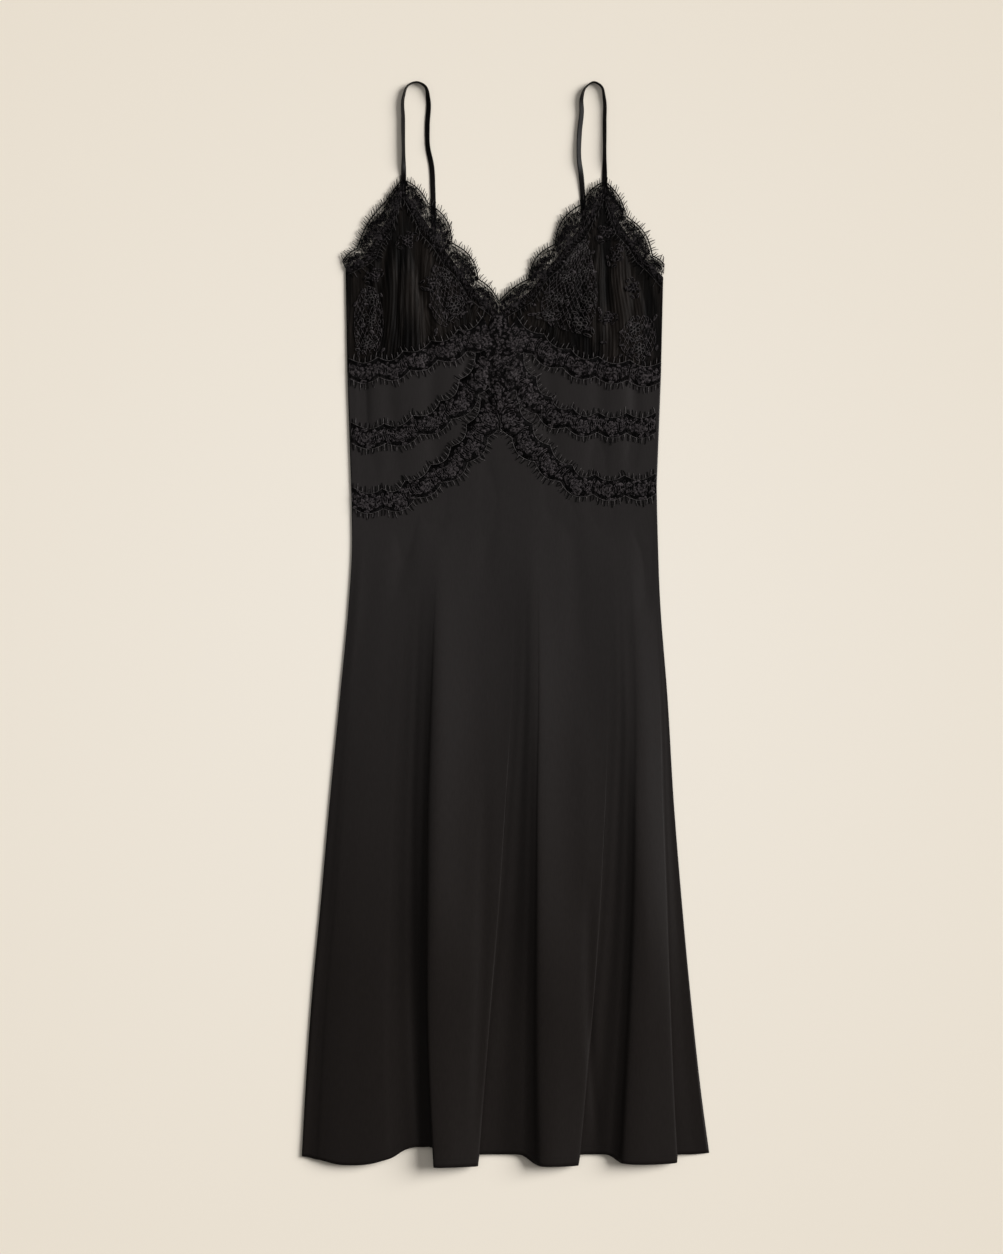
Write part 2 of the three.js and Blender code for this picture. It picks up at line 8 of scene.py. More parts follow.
# %% The fixed frame of the dress
import math
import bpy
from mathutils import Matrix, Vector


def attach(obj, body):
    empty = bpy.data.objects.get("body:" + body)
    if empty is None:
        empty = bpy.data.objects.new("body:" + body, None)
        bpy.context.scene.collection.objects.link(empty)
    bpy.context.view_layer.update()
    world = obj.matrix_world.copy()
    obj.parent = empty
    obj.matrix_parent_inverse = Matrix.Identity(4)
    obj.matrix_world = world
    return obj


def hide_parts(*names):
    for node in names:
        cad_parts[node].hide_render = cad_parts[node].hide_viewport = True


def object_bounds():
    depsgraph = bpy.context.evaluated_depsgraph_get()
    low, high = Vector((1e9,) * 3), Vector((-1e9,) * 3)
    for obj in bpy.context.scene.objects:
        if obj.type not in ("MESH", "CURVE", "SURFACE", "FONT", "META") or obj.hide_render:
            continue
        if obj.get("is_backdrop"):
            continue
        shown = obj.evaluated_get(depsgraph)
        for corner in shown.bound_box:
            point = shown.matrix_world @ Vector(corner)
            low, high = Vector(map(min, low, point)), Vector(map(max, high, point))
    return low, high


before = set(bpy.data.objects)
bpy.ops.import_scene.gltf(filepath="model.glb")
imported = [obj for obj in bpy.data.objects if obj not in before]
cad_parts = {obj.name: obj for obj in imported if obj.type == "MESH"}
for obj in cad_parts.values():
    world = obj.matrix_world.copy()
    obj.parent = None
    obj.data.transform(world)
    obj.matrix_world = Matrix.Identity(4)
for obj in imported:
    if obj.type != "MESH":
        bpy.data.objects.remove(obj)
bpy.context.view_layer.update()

from types import SimpleNamespace

import bpy
import numpy as np

MM = 0.001
rng = np.random.default_rng(7)

# %% [markdown]
# ## Curves from short tables
# A pattern cutter notes an outline as a few measured stations and joins them with a smooth curve.
# The same is done here: a table has one row for each station, and a smooth curve runs through its
# columns.

# %% Smooth curves
def smooth(keys, values):
    """A smooth curve through values (one row for each key), held still past its ends."""
    keys = np.asarray(keys, float)
    values = np.asarray(values, float)
    slopes = np.gradient(values, keys, axis=0)

    def at(key):
        key = np.clip(key, keys[0], keys[-1])
        i = np.clip(np.searchsorted(keys, key, "right") - 1, 0, len(keys) - 2)
        step = keys[i + 1] - keys[i]
        t = (key - keys[i]) / step
        if values.ndim > 1:
            t, step = t[..., None], step[..., None]
        rest = 1 - t
        ends = values[i] * rest**2 * (1 + 2 * t) + values[i + 1] * t**2 * (3 - 2 * t)
        return ends + step * t * rest * (rest * slopes[i] - t * slopes[i + 1])

    return at


def path_through(points):
    """A smooth path through points, looked up by share of its length, and that length."""
    points = np.asarray(points, float)
    chord = np.hypot(*np.diff(points[:, :2], axis=0).T)
    run = np.concatenate([[0], np.cumsum(chord)])
    curve = smooth(run / run[-1], points)
    fine = curve(np.linspace(0, 1, 400))
    steps = np.hypot(*np.diff(fine[:, :2], axis=0).T)
    shares = np.concatenate([[0], np.cumsum(steps)]) / steps.sum()
    even = lambda s: curve(np.interp(s, shares, np.linspace(0, 1, 400)))
    return even, steps.sum()


def ramp(value, low, high):
    """0 below low, 1 above high, and a soft step between."""
    t = np.clip((value - low) / (high - low), 0, 1)
    return t * t * (3 - 2 * t)


def unit(vectors):
    return vectors / (np.linalg.norm(vectors, axis=-1, keepdims=True) + 1e-9)


# %% [markdown]
# ## Outline and seams
# Measured as it lies: the side edges from armhole to hem, and two seams across the front, which
# climb to a point at its centre. `X` runs to the right of the picture and `Y` towards the straps,
# from the middle of the dress.

# %% Outline and seams
OUTLINE = [  # y, left edge, right edge
    (-628, -240.5, 240.5),
    (-562, -237, 231.5),
    (-444, -229, 218.5),
    (-326, -218, 207.5),
    (-208, -207.5, 198),
    (-90, -196, 191),
    (28, -185, 182),
    (87, -181.5, 179.5),
    (146, -182, 177.5),
    (264, -183, 177),
    (323, -187, 183),
    (427, -188, 186),
]
BUST_SEAM = [
    (-187, 298), (-137, 301), (-90, 317), (-45, 333), (-8, 350), (34, 331), (87, 304),
    (134, 297), (183, 293),
]
HIP_SEAM = [
    (-182, 146), (-134, 147), (-96, 165), (-60, 190), (-33, 219), (-7, 241), (20, 218),
    (52, 189), (87, 165), (129, 160), (178, 162),
]
CENTRE_X = -7.6

side_curve = smooth(*zip(*[(y, (left, right)) for y, left, right in OUTLINE]))
bust_seam = smooth(*zip(*BUST_SEAM))
hip_seam = smooth(*zip(*HIP_SEAM))


def sides(y):
    found = side_curve(np.asarray(y, float))
    return found[..., 0], found[..., 1]


def seam_x(seam, across):
    """Place on a seam; across is 0 at the left side, 1 at the centre front, 2 at the right."""
    return np.interp(across, [0, 1, 2], [seam[0][0], CENTRE_X, seam[-1][0]])


print("width at the hem", OUTLINE[0][2] - OUTLINE[0][1], "mm")

# %% [markdown]
# ## Creases and drapes
# Creases are soft troughs (or ridges) along short lines, each with its own width and depth, placed
# where the cloth shows them. Drapes are broader: from the hips down, the skirt climbs slowly to a
# soft crest, and falls away on its other side. All are uneven, as cloth laid by hand is.

# %% Creases and drapes
CREASES = [  # from x, y to x, y, width, depth (below 0: a ridge)
    (-110, 462, -101, 392, 6, 2.8),
    (-101, 394, -92, 312, 7, 2.6),
    (-141, 462, -150, 345, 6, 2.4),
    (-124, 440, -126, 330, 4, 1.4),
    (-78, 420, -70, 350, 5, 1.7),
    (-163, 400, -170, 340, 5, 1.4),
    (122, 470, 124, 345, 6, 3.0),
    (143, 459, 149, 355, 5, 2.4),
    (157, 418, 175, 345, 5, 2.0),
    (96, 440, 90, 345, 5, 1.6),
    (60, 395, 66, 335, 5, 1.0),
    (-139, 318, -137, 235, 11, 1.3),
    (-130, 240, -132, 125, 12, 1.0),
    (-86, 325, -88, 215, 11, 1.3),
    (-79, 225, -82, 115, 12, 1.2),
    (-46, 325, -42, 240, 7, 1.4),
    (-20, 300, -18, 245, 4, 1.6),
    (49, 325, 48, 225, 11, 1.2),
    (54, 235, 57, 125, 12, 1.1),
    (109, 305, 105, 190, 11, 1.3),
    (114, 215, 115, 115, 12, 1.0),
    (30, 320, 32, 245, 7, 1.1),
    (150, 295, 147, 190, 8, 1.5),
    (-168, 300, -166, 180, 6, 1.6),
    (-155, 200, -157, 120, 10, 0.8),
    (-112, 150, -116, 60, 9, 0.8),
    (178, 135, 160, 100, 9, 1.2),
    (164, 110, 162, 20, 12, 1.2),
    (-118, 118, -128, 40, 9, 1.0),
    (-22, 190, -26, 60, 9, 0.9),
    (-24, -190, -34, -560, 6, 1.3),
    (99, -330, 106, -590, 5, 1.2),
    (-178, 70, -206, -120, 12, -1.6),
    (75, 130, 84, -20, 10, 0.8),
]

DRAPES = [  # crest from x, y to x, y, run to the left, run to the right, height
    (-76, 150, -88, -440, 56, 70, 8.2),
    (30, 180, 37, -440, 66, 62, 7.6),
    (118, 150, 172, -440, 66, 50, 3.0),
    (-176, 60, -204, -380, 30, 40, 1.2),
    (-18, 60, -22, -330, 30, 26, 1.0),
    (90, -60, 96, -330, 26, 22, 1.2),
]
CREST_ROUND = 5.0
MOST_BEND = 4.0


def drape_height(x, y):
    """Soft drapes which climb to a crest from the left and fall away to the right."""
    total = np.zeros(np.broadcast(x, y).shape)
    for x0, y0, x1, y1, left, right, height in DRAPES:
        along = (y - y0) / (y1 - y0)
        off = x - x0 - (x1 - x0) * along
        off = np.sign(off) * (np.hypot(off, CREST_ROUND) - CREST_ROUND)
        share = np.clip(1 - np.where(off < 0, -off / left, off / right), 0, 1)
        ends = ramp(along, 0, 0.45) * (1 - ramp(along, 0.8, 1.1))
        total += height * ends * share**2
    return total


def crease_depth(x, y):
    """All creases together, each a little bent and fading out past both ends of its line."""
    total = np.zeros(np.broadcast(x, y).shape)
    for x0, y0, x1, y1, width, depth in CREASES:
        dx, dy = x1 - x0, y1 - y0
        length = math.hypot(dx, dy)
        along = ((x - x0) * dx + (y - y0) * dy) / length**2
        off = ((x - x0) * dy - (y - y0) * dx) / length
        most = min(0.06 * length, MOST_BEND) * math.sin(x0 + y0)
        bend = most * np.sin(math.pi * along)
        ends = ramp(along, -0.25, 0.2) * (1 - ramp(along, 0.8, 1.25))
        total += depth * ends * np.exp(-(((off - bend) / width) ** 2))
    return total


print(len(CREASES), "creases and", len(DRAPES), "drapes")

# %% [markdown]
# ## How the front lies
# The front rests on the back with a little air under it. The cups stay puffed from their gathers,
# the midriff is slack, and the skirt lifts a little below the hips. At the sides it comes down to
# the back, and there the creases die out too.

# %% Height of the front
FRONT_LOW = 1.8
MIDRIFF_RISE, MIDRIFF_Y, MIDRIFF_REACH = 2.4, 270, 130
SKIRT_RISE, SKIRT_Y, SKIRT_REACH = 1.8, 120, 70
CUP_RISE, CUP_CENTRES, CUP_SPREAD = 6.0, [(-124, 376), (110, 372)], (36, 40)
SIDE_REACH, SKIRT_RIGHT_REACH, CREASE_REACH = 45, 34, 14  # how far in from a side it takes


def front_height(x, y):
    x, y = np.asarray(x, float), np.asarray(y, float)
    left, right = sides(y)
    inward = np.minimum(x - left, right - x)
    midriff = MIDRIFF_RISE * ramp(1 - abs(y - MIDRIFF_Y) / MIDRIFF_REACH, 0, 1)
    cups = sum(
        CUP_RISE * np.exp(-(((x - cx) / CUP_SPREAD[0]) ** 2 + ((y - cy) / CUP_SPREAD[1]) ** 2) / 2)
        for cx, cy in CUP_CENTRES
    )
    skirt_air = SKIRT_RISE * ramp(SKIRT_Y - y, 0, SKIRT_REACH)
    skirt_air *= ramp(x - left, 0, SIDE_REACH) * ramp(right - x, 0, SKIRT_RIGHT_REACH)
    height = FRONT_LOW + (midriff + cups) * ramp(inward, 0, SIDE_REACH) + skirt_air
    moved = drape_height(x, y) - crease_depth(x, y)
    return np.maximum(height + ramp(inward, 0, CREASE_REACH) * moved, FRONT_LOW - 0.25)


print("front stands", round(float(front_height(-124, 376)), 1), "mm high at a cup")

# %% [markdown]
# ## Panels as thin shells
# Each panel is a grid of points on its middle surface and gets its thickness afterwards: half a
# millimetre for satin, less for the thin cloth of the cups and more for the ribbon.

# %% Making meshes
def add_mesh(name, points, faces, looks):
    """A smooth-shaded piece from points in millimetres."""
    mesh = bpy.data.meshes.new(name)
    mesh.from_pydata((points * MM).tolist(), [], faces)
    mesh.shade_smooth()
    for look in looks:
        mesh.materials.append(look)
    piece = bpy.data.objects.new(name, mesh)
    bpy.context.scene.collection.objects.link(piece)
    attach(piece, "root")
    return piece


def grid_faces(rows, columns):
    index = np.arange(rows * columns).reshape(rows, columns)
    corners = [index[1:, :-1], index[1:, 1:], index[:-1, 1:], index[:-1, :-1]]
    return np.stack(corners, -1).reshape(-1, 4).tolist()


def shell(name, x, y, z, look, thickness=0.5):
    """A thin cloth shell; rows of the arrays run down the dress and columns to the right."""
    points = np.stack(np.broadcast_arrays(x, y, z), -1)
    rows, columns = points.shape[:2]
    piece = add_mesh(name, points.reshape(-1, 3), grid_faces(rows, columns), [look])
    solid = piece.modifiers.new("thickness", "SOLIDIFY")
    solid.thickness = thickness * MM
    solid.offset = 0
    return piece


def tubes(paths, radius, sides_of=3):
    """Threads along paths (path, point, xyz): points and faces of closed thin tubes."""
    along = unit(np.gradient(paths, axis=1))
    beside = unit(np.cross(along, (0, 0, 1)))
    above = np.cross(beside, along)
    turn = 2 * np.pi * np.arange(sides_of) / sides_of + np.pi / 2
    radius = np.broadcast_to(radius, paths.shape[:2])[..., None, None]
    ring = beside[:, :, None] * np.cos(turn)[:, None] + above[:, :, None] * np.sin(turn)[:, None]
    points = (paths[:, :, None] + radius * ring).reshape(-1, 3)
    count, length = paths.shape[:2]
    index = np.arange(count * length * sides_of).reshape(count, length, sides_of)
    near, far = index[:, :-1], index[:, 1:]
    walls = [near, far, np.roll(far, -1, 2), np.roll(near, -1, 2)]
    faces = np.stack(walls, -1).reshape(-1, 4).tolist()
    faces += index[:, 0].tolist()
    faces += index[:, -1, ::-1].tolist()
    return points, faces


class Threads:
    """Gathers threads of one piece of lace and makes them one mesh."""

    def __init__(self):
        self.points, self.faces, self.tones, self.count = [], [], [], 0

    def add(self, paths, radius, tone=0):
        points, faces = tubes(np.asarray(paths, float), radius)
        self.faces += [[i + self.count for i in face] for face in faces]
        self.tones += [tone] * len(faces)
        self.points.append(points)
        self.count += len(points)

    def piece(self, name, looks, slot):
        made = add_mesh(name, np.concatenate(self.points), self.faces, looks)
        made.data.polygons.foreach_set("material_index", self.tones)
        print(name, "has", len(self.faces), "thread faces")
        return made


# %% [markdown]
# ## Shader arithmetic
# A surface's numbers, such as how far a thread's colour is lightened, are worked out point by
# point. `Varying` lets such numbers be added and multiplied like any others.

# %% Shader helpers
class Varying:
    """A number or colour that varies over a surface, as a shader socket."""

    def __init__(self, look, socket):
        self.look, self.socket = look, socket

    def __add__(self, other):
        return self.look.maths("ADD", self, other)

    def __sub__(self, other):
        return self.look.maths("SUBTRACT", self, other)

    def __rsub__(self, other):
        return self.look.maths("SUBTRACT", other, self)

    def __mul__(self, other):
        return self.look.maths("MULTIPLY", self, other)

    __radd__ = __add__
    __rmul__ = __mul__


class Look:
    """A material made from one Principled surface."""

    def __init__(self, name, **uniform):
        self.material = bpy.data.materials.new(name)
        self.material.use_nodes = True
        self.tree = self.material.node_tree
        self.surface = self.tree.nodes["Principled BSDF"]
        self.set(**uniform)

    def set(self, **inputs):
        self.fill(self.surface, {key.replace("_", " "): v for key, v in inputs.items()})

    def fill(self, node, inputs):
        for key, value in inputs.items():
            if isinstance(value, Varying):
                self.tree.links.new(value.socket, node.inputs[key])
            else:
                node.inputs[key].default_value = value

    def node(self, kind, settings, inputs, output=0):
        node = self.tree.nodes.new("ShaderNode" + kind)
        for key, value in settings.items():
            setattr(node, key, value)
        self.fill(node, inputs)
        return Varying(self, node.outputs[output])

    def maths(self, operation, first, second):
        return self.node("Math", {"operation": operation}, {0: first, 1: second})

    def place(self):
        return self.node("TexCoord", {}, {}, "Object")

    def noise(self, scale, stretch=(1, 1, 1), detail=2.0):
        scaled = self.node("VectorMath", {"operation": "MULTIPLY"}, {0: self.place(), 1: stretch})
        inputs = {"Vector": scaled, "Scale": scale, "Detail": detail}
        return self.node("TexNoise", {}, inputs, "Fac")

    def between(self, value, low, high):
        inputs = {"Value": value, "From Min": low, "From Max": high}
        return self.node("MapRange", {"interpolation_type": "SMOOTHSTEP"}, inputs)

    def blend(self, first, second, amount):
        settings = {"data_type": "RGBA"}
        return self.node("Mix", settings, {0: amount, 6: first, 7: second}, 2)

    def bump(self, height, distance, strength):
        inputs = {"Height": height, "Distance": distance, "Strength": strength}
        self.set(Normal=self.node("Bump", {}, inputs))


# %% [markdown]
# ## The cloths
# The satin is near black with a soft sheen: a smooth float of threads over a dull weave. Its
# colour is painted darker and warmer towards the hem and paler by the waist, as painted shade
# where the light falls off down the dress. The cups are cut from the same black but crushed, so
# they are duller and browner, with painted shade in streaks between the gathers and a painted
# glint along the crinkles. The lace has three tones of dusty violet grey thread, and the trims,
# which lie against the pale table, have the same three painted darker, as painted shade. Under the
# bands the lace's near-black net lies close, partly painted shade in the gaps. The ribbon is satin
# too, woven tight.

# %% Materials
satin = Look("satin", Specular_IOR_Level=0.06)
slub = satin.noise(900, (1, 0.12, 1), 3)
weave = satin.noise(2600, (1, 0.35, 1), 1)
up_the_dress = satin.node("SeparateXYZ", {}, {0: satin.place()}, 1)
# Painted shade: the satin's colour is darker and warmer towards the hem and paler by the waist,
# where the light falls off; the noise here only wobbles where that change lies.
painted_shade_wobble = satin.noise(9, (1, 0.6, 1)) * 0.3 - 0.15
painted_light_to_waist = satin.between(up_the_dress + painted_shade_wobble * 0.5, -0.5, 0.16)
shaded_hem_black = satin.blend((0.0074, 0.0058, 0.0051, 1), (0.0124, 0.0100, 0.0090, 1), slub)
lit_waist_black = satin.blend((0.0150, 0.0131, 0.0127, 1), (0.0208, 0.0186, 0.0182, 1), slub)
satin.set(
    Base_Color=satin.blend(shaded_hem_black, lit_waist_black, painted_light_to_waist),
    Roughness=satin.noise(14, (1, 0.5, 1)) * 0.08 + 0.37,
)
satin.bump(slub * 0.6 + weave * 0.4, 0.00012, 0.3)

cup_cloth = Look("cup_cloth", Specular_IOR_Level=0.05)
crinkle = cup_cloth.noise(330, (1, 0.08, 1), 4)
# Painted shade in dark streaks between the gathers, and a painted glint in pale lines along the
# crinkles, strongest where the streaks are light.
painted_shade_mask = cup_cloth.between(cup_cloth.noise(46, (1, 0.16, 1), 2), 0.32, 0.68)
cup_weave = cup_cloth.noise(2400, (1, 1, 1), 1)
painted_glint = cup_cloth.between(crinkle, 0.5, 0.72)
shaded_cup_black = cup_cloth.blend((0.0006, 0.0004, 0.0003, 1), (0.0066, 0.0049, 0.0039, 1), painted_shade_mask)
cup_cloth.set(
    Base_Color=cup_cloth.blend(shaded_cup_black, (0.027, 0.0215, 0.0185, 1), painted_glint * (painted_shade_mask * 0.4 + 0.1)),
    Roughness=cup_cloth.noise(40) * 0.15 + 0.5,
)
cup_cloth.bump(crinkle * 0.8 + cup_weave * 0.2, 0.0009, 0.9)


def lace_look(name, dark, light):
    look = Look(name, Specular_IOR_Level=0.04)
    ply = look.noise(1500, (1, 1, 1), 2)
    patchy = look.noise(420, (1, 1, 1), 3)
    look.set(
        Base_Color=look.blend((*dark, 1), (*light, 1), look.between(patchy, 0.35, 0.65)),
        Roughness=ply * 0.2 + 0.5,
    )
    look.bump(ply, 0.0003, 0.6)
    return look.material


LACE_TONES = [
    lace_look("lace_fill", (0.0040, 0.0034, 0.0036), (0.078, 0.068, 0.070)),
    lace_look("lace_net", (0.0014, 0.0012, 0.0012), (0.0062, 0.0054, 0.0055)),
    lace_look("lace_cord", (0.040, 0.036, 0.035), (0.105, 0.096, 0.095)),
]
# The trims have the same three tones painted darker, as painted shade.
DARKENED_TRIM_TONES = [
    lace_look("trim_fill", (0.0020, 0.0017, 0.0018), (0.040, 0.035, 0.036)),
    lace_look("trim_net", (0.0007, 0.0006, 0.0006), (0.0028, 0.0024, 0.0025)),
    lace_look("trim_cord", (0.020, 0.018, 0.0175), (0.060, 0.055, 0.054)),
]
FILL, NET, CORD = range(3)

ribbon = Look("ribbon", Specular_IOR_Level=0.06)
rib = ribbon.noise(2200, (0.3, 1, 1), 2)
ribbon.set(
    Base_Color=ribbon.blend((0.0022, 0.0018, 0.0017, 1), (0.0060, 0.0052, 0.0050, 1), rib),
    Roughness=rib * 0.1 + 0.34,
)
ribbon.bump(rib, 0.0001, 0.4)

thread = Look("thread", Specular_IOR_Level=0.1, Roughness=0.55)
twist = thread.noise(3000, (1, 1, 1), 1)
thread.set(Base_Color=thread.blend((0.004, 0.004, 0.004, 1), (0.014, 0.013, 0.013, 1), twist))
thread.bump(twist, 0.0001, 0.5)

# %% [markdown]
# ## Back panel
# One piece of satin from the low top edge to the hem. It lies flat on the table and shows only
# inside the neckline, through the lace and at the sides of the hem.

# %% Back panel
BACK_TOP = smooth(*zip(
    (-186.5, 419), (-149, 409), (-83, 392), (-42, 375), (-7, 365), (28, 374), (91, 391),
    (134, 399), (184, 407),
))
BACK_CORNERS = (-186.5, 184)
BACK_HEM, BACK_INSET = -612, 1.5
BACK_HEIGHT, BACK_RIPPLE = 0.45, 0.12

across = np.linspace(0, 1, 90)[None, :]
down = np.linspace(0, 1, 130)[:, None]
top_x = BACK_CORNERS[0] + (BACK_CORNERS[1] - BACK_CORNERS[0]) * across
back_y = BACK_TOP(top_x) * (1 - down) + BACK_HEM * down
back_left, back_right = sides(back_y)
back_x = back_left + BACK_INSET + (back_right - back_left - 2 * BACK_INSET) * across
ripple = BACK_RIPPLE * np.sin(back_x / 11 + back_y / 60) * np.sin(np.pi * across)
back = shell("back_panel", back_x, back_y, BACK_HEIGHT + ripple, satin.material)
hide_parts("back")


# %% [markdown]
# ## Skirt
# The front skirt is cut on the bias, so it flares from the hip seam to the hem. Laid flat, the
# spare width rolls into four rounded folds. Some roll so far that their edge hangs over the
# valley beside them. A fold is a crown with a flank on each side; stations across the cloth follow
# it, each with its place at the hem and up by the hips, and the cloth runs smoothly through them.

# %% Folds at the hem
# A crown's edges at the hem and at the top, height on the right and how many times that on the
# left, lowest y and sag; run and tuck of the left flank and of the right; y of the valley after.
FOLDS = [
    ((-217, -144), (-165, -122), (6, 0.8), (-638.2, 6), (22, 0), (35, 0), -617),
    ((-85, -33), (-78, 6), (5.4, 3.3), (-639.4, 0.6), (3, 8), (3, 7), -625.5),
    ((41, 85.5), (42, 115), (4.2, 3.4), (-639, 1), (26, 0), (3, 7), -625.5),
    ((139, 201), (150, 172), (4, 3.4), (-636.6, 1.5), (21, 0), (3, 5), -625.5),
]
FOLD_TOP = 60
CROWN_EDGE = 0.78  # height of a crown's edge, as a share of its middle
FLANK_FOOT = 2.2  # height of a flank's foot over the valley
SIDEWAYS_EASE = 1.8
HEM_LEFT, HEM_RIGHT = OUTLINE[0][1:]
HIGH_LEFT, HIGH_RIGHT = sides(FOLD_TOP)
CORNER_Y = (-628, -624)


def skirt_stations():
    """Rows of hem x, x where folds die out (or nothing), rise, hem y."""
    rows = [(HEM_LEFT, HIGH_LEFT, 0, CORNER_Y[0])]
    valley_before = CORNER_Y[0]
    for i, (hem, top, (height, lean), (lowest, sag), left, right, valley) in enumerate(FOLDS):
        edge = lowest + sag
        for share in (1, 0.67, 0.33):
            rows.append(flank(hem[0], -1, share, left, height * lean, edge, valley_before))
        for share in (0, 0.3, 0.7, 1):
            bow = math.sin(math.pi * share)
            place = [a + (b - a) * share for a, b in (hem, top)]
            rise = height * (lean + (1 - lean) * share) * (CROWN_EDGE + (1 - CROWN_EDGE) * bow)
            rows.append((*place, rise, edge - sag * bow))
        for share in (0.33, 0.67, 1):
            rows.append(flank(hem[1], 1, share, right, height, edge, valley))
        after = FOLDS[i + 1][0][0] - FOLDS[i + 1][4][0] if i + 1 < len(FOLDS) else HEM_RIGHT
        rows.append(((rows[-1][0] + after) / 2, None, 0, valley))
        valley_before = valley
    rows.append((HEM_RIGHT, HIGH_RIGHT, 0, CORNER_Y[1]))
    return rows


def flank(edge_x, side, share, run_and_tuck, height, edge_y, valley):
    """A station on a fold's side, share of the way from the crown's edge to the valley."""
    run, tuck = run_and_tuck
    x = edge_x + side * (run * share - tuck * math.sin(math.pi * share))
    foot = min(FLANK_FOOT, 0.4 * CROWN_EDGE * height)
    rise = foot + (CROWN_EDGE * height - foot) * (1 + math.cos(math.pi * share**0.6)) / 2
    reach = edge_y + (valley - edge_y) * float(ramp(share, 0, 1))
    return x, None, rise, reach


stations = skirt_stations()
print("the hem has", len(FOLDS), "folds and", len(stations), "stations")

# %% [markdown]
# The columns of the skirt's grid run through the stations. From the seam down they slide sideways
# into the folds, which rise as they go.

# %% Skirt
known = [i for i, row in enumerate(stations) if row[1] is not None]
hem_x = np.array([row[0] for row in stations])
high_x = np.interp(range(len(stations)), known, [stations[i][1] for i in known])
STATION_STEPS = 5
column = np.linspace(0, len(stations) - 1, STATION_STEPS * (len(stations) - 1) + 1)
number = np.arange(len(stations))
hem_share = smooth(number, (hem_x - HEM_LEFT) / (HEM_RIGHT - HEM_LEFT))(column)
high_share = smooth(number, (high_x - HIGH_LEFT) / (HIGH_RIGHT - HIGH_LEFT))(column)
rise = np.maximum(smooth(number, [row[2] for row in stations])(column), 0)
reach = smooth(number, [row[3] for row in stations])(column)

LEFT_STATIONS = 22  # stations left of the centre front
SKIRT_ROWS = 170
seam_across = np.interp(column, [0, LEFT_STATIONS, len(stations) - 1], [0, 1, 2])
down = np.linspace(0, 1, SKIRT_ROWS)[:, None]
start_x = seam_x(HIP_SEAM, seam_across)
start_y = hip_seam(start_x)
skirt_y = start_y * (1 - down) + reach * down
start_left, start_right = sides(start_y)
seam_share = (start_x - start_left) / (start_right - start_left)
settled = np.clip((start_y - skirt_y) / (start_y - FOLD_TOP), 0, 1)
grown = np.clip((FOLD_TOP - skirt_y) / (FOLD_TOP - reach), 0, 1)
upper = seam_share + (high_share - seam_share) * settled
share = upper + (hem_share - upper) * grown**SIDEWAYS_EASE
left, right = sides(skirt_y)
skirt_x = left + (right - left) * share
skirt_z = front_height(skirt_x, skirt_y) + rise * grown
skirt = shell("skirt", skirt_x, skirt_y, skirt_z, satin.material)
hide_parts("skirt_front")
print("skirt folds stand", round(float(skirt_z.max()), 1), "mm high at the hem")

# %% [markdown]
# The hem is turned once and stitched 8 mm up, which shows as a fine row of short threads. They
# follow the skirt's own points, moved out a little.

# %% Hem stitching
STITCH_UP, STITCH_OUT, STITCH_RADIUS, STITCH_POINTS = 8.0, 0.35, 0.16, 1800
hem_points = np.stack([skirt_x, skirt_y, skirt_z], -1)
outward = unit(np.cross(*np.gradient(hem_points, axis=(0, 1))))
row_step = abs(skirt_y[-1] - skirt_y[-2])
row = len(skirt_y) - 1 - np.round(STITCH_UP / row_step).astype(int)
picked = np.arange(skirt_x.shape[1])
line = hem_points[row, picked] + STITCH_OUT * outward[row, picked]
fine = np.linspace(0, len(line) - 1, STITCH_POINTS)
dense = np.stack([np.interp(fine, picked, line[:, k]) for k in range(3)], -1)
stitches = np.stack([dense[0:-2:4], dense[1:-1:4], dense[2::4]], 1)
hem_stitches = Threads()
hem_stitches.add(stitches, STITCH_RADIUS)
hem_stitches.piece("hem_stitches", [thread.material], "satin")

# %% [markdown]
# ## Midriff
# A band of the same satin between the bust seam and the hip seam. It is slack, so it stands a
# little off the back and creases upright.

# %% Midriff
across = np.linspace(0, 2, 200)[None, :]
down = np.linspace(0, 1, 70)[:, None]
top_x, low_x = seam_x(BUST_SEAM, across), seam_x(HIP_SEAM, across)
mid_x = top_x * (1 - down) + low_x * down
mid_y = bust_seam(top_x) * (1 - down) + hip_seam(low_x) * down
mid_z = front_height(mid_x, mid_y)
midriff = shell("midriff_panel", mid_x, mid_y, mid_z, satin.material)
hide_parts("midriff")

# %% [markdown]
# ## Lace trims around the neck and arms
# The trim is a galloon: lace with a scalloped edge on both sides. Its outer edge is noted from
# cusp to cusp, with how far each scallop bulges; its inner edge lies on the cup. A place on it is
# given by how many scallops along and what share across.

# %% Trim shapes
TRIMS = {  # border cusps x, y, bulge of the scallop that starts there; inner edge x, y
    "arm_left": (
        [(-192.5, 427, 2), (-175.5, 442.5, 4.5), (-141.5, 498, 0.5), (-122.5, 523.5, 0)],
        [(-186, 412), (-161, 424), (-145, 448), (-131, 474), (-122.3, 503)],
    ),
    "neck_left": (
        [(-120.8, 524, 4), (-92, 496, 8.5), (-63.5, 449, 8), (-32.5, 406.5, 3), (-8.4, 380.5, 0)],
        [(-121.4, 503), (-101, 463), (-79, 433), (-56, 403), (-36, 377), (-8.4, 356)],
    ),
    "neck_right": (
        [(-7.6, 380.5, 2.5), (27, 406.5, 8), (58, 447.5, 8.5), (90, 495, 4), (116, 521.5, 0)],
        [(-7.6, 356), (29, 379), (50, 405), (73, 430), (97, 462), (116, 500)],
    ),
    "arm_right": (
        [(117.2, 521.5, 4.5), (142, 480.5, 7), (173, 434, 1), (187, 423.5, 0)],
        [(117, 500), (127, 468), (147, 438), (166, 415), (184.5, 396)],
    ),
}
CLOTH_EDGE = 0.46  # the cup ends under the trim, at this share across it
HELD, LETS_GO = CLOTH_EDGE + 0.05, 0.5  # lies on the cup so far, then sinks
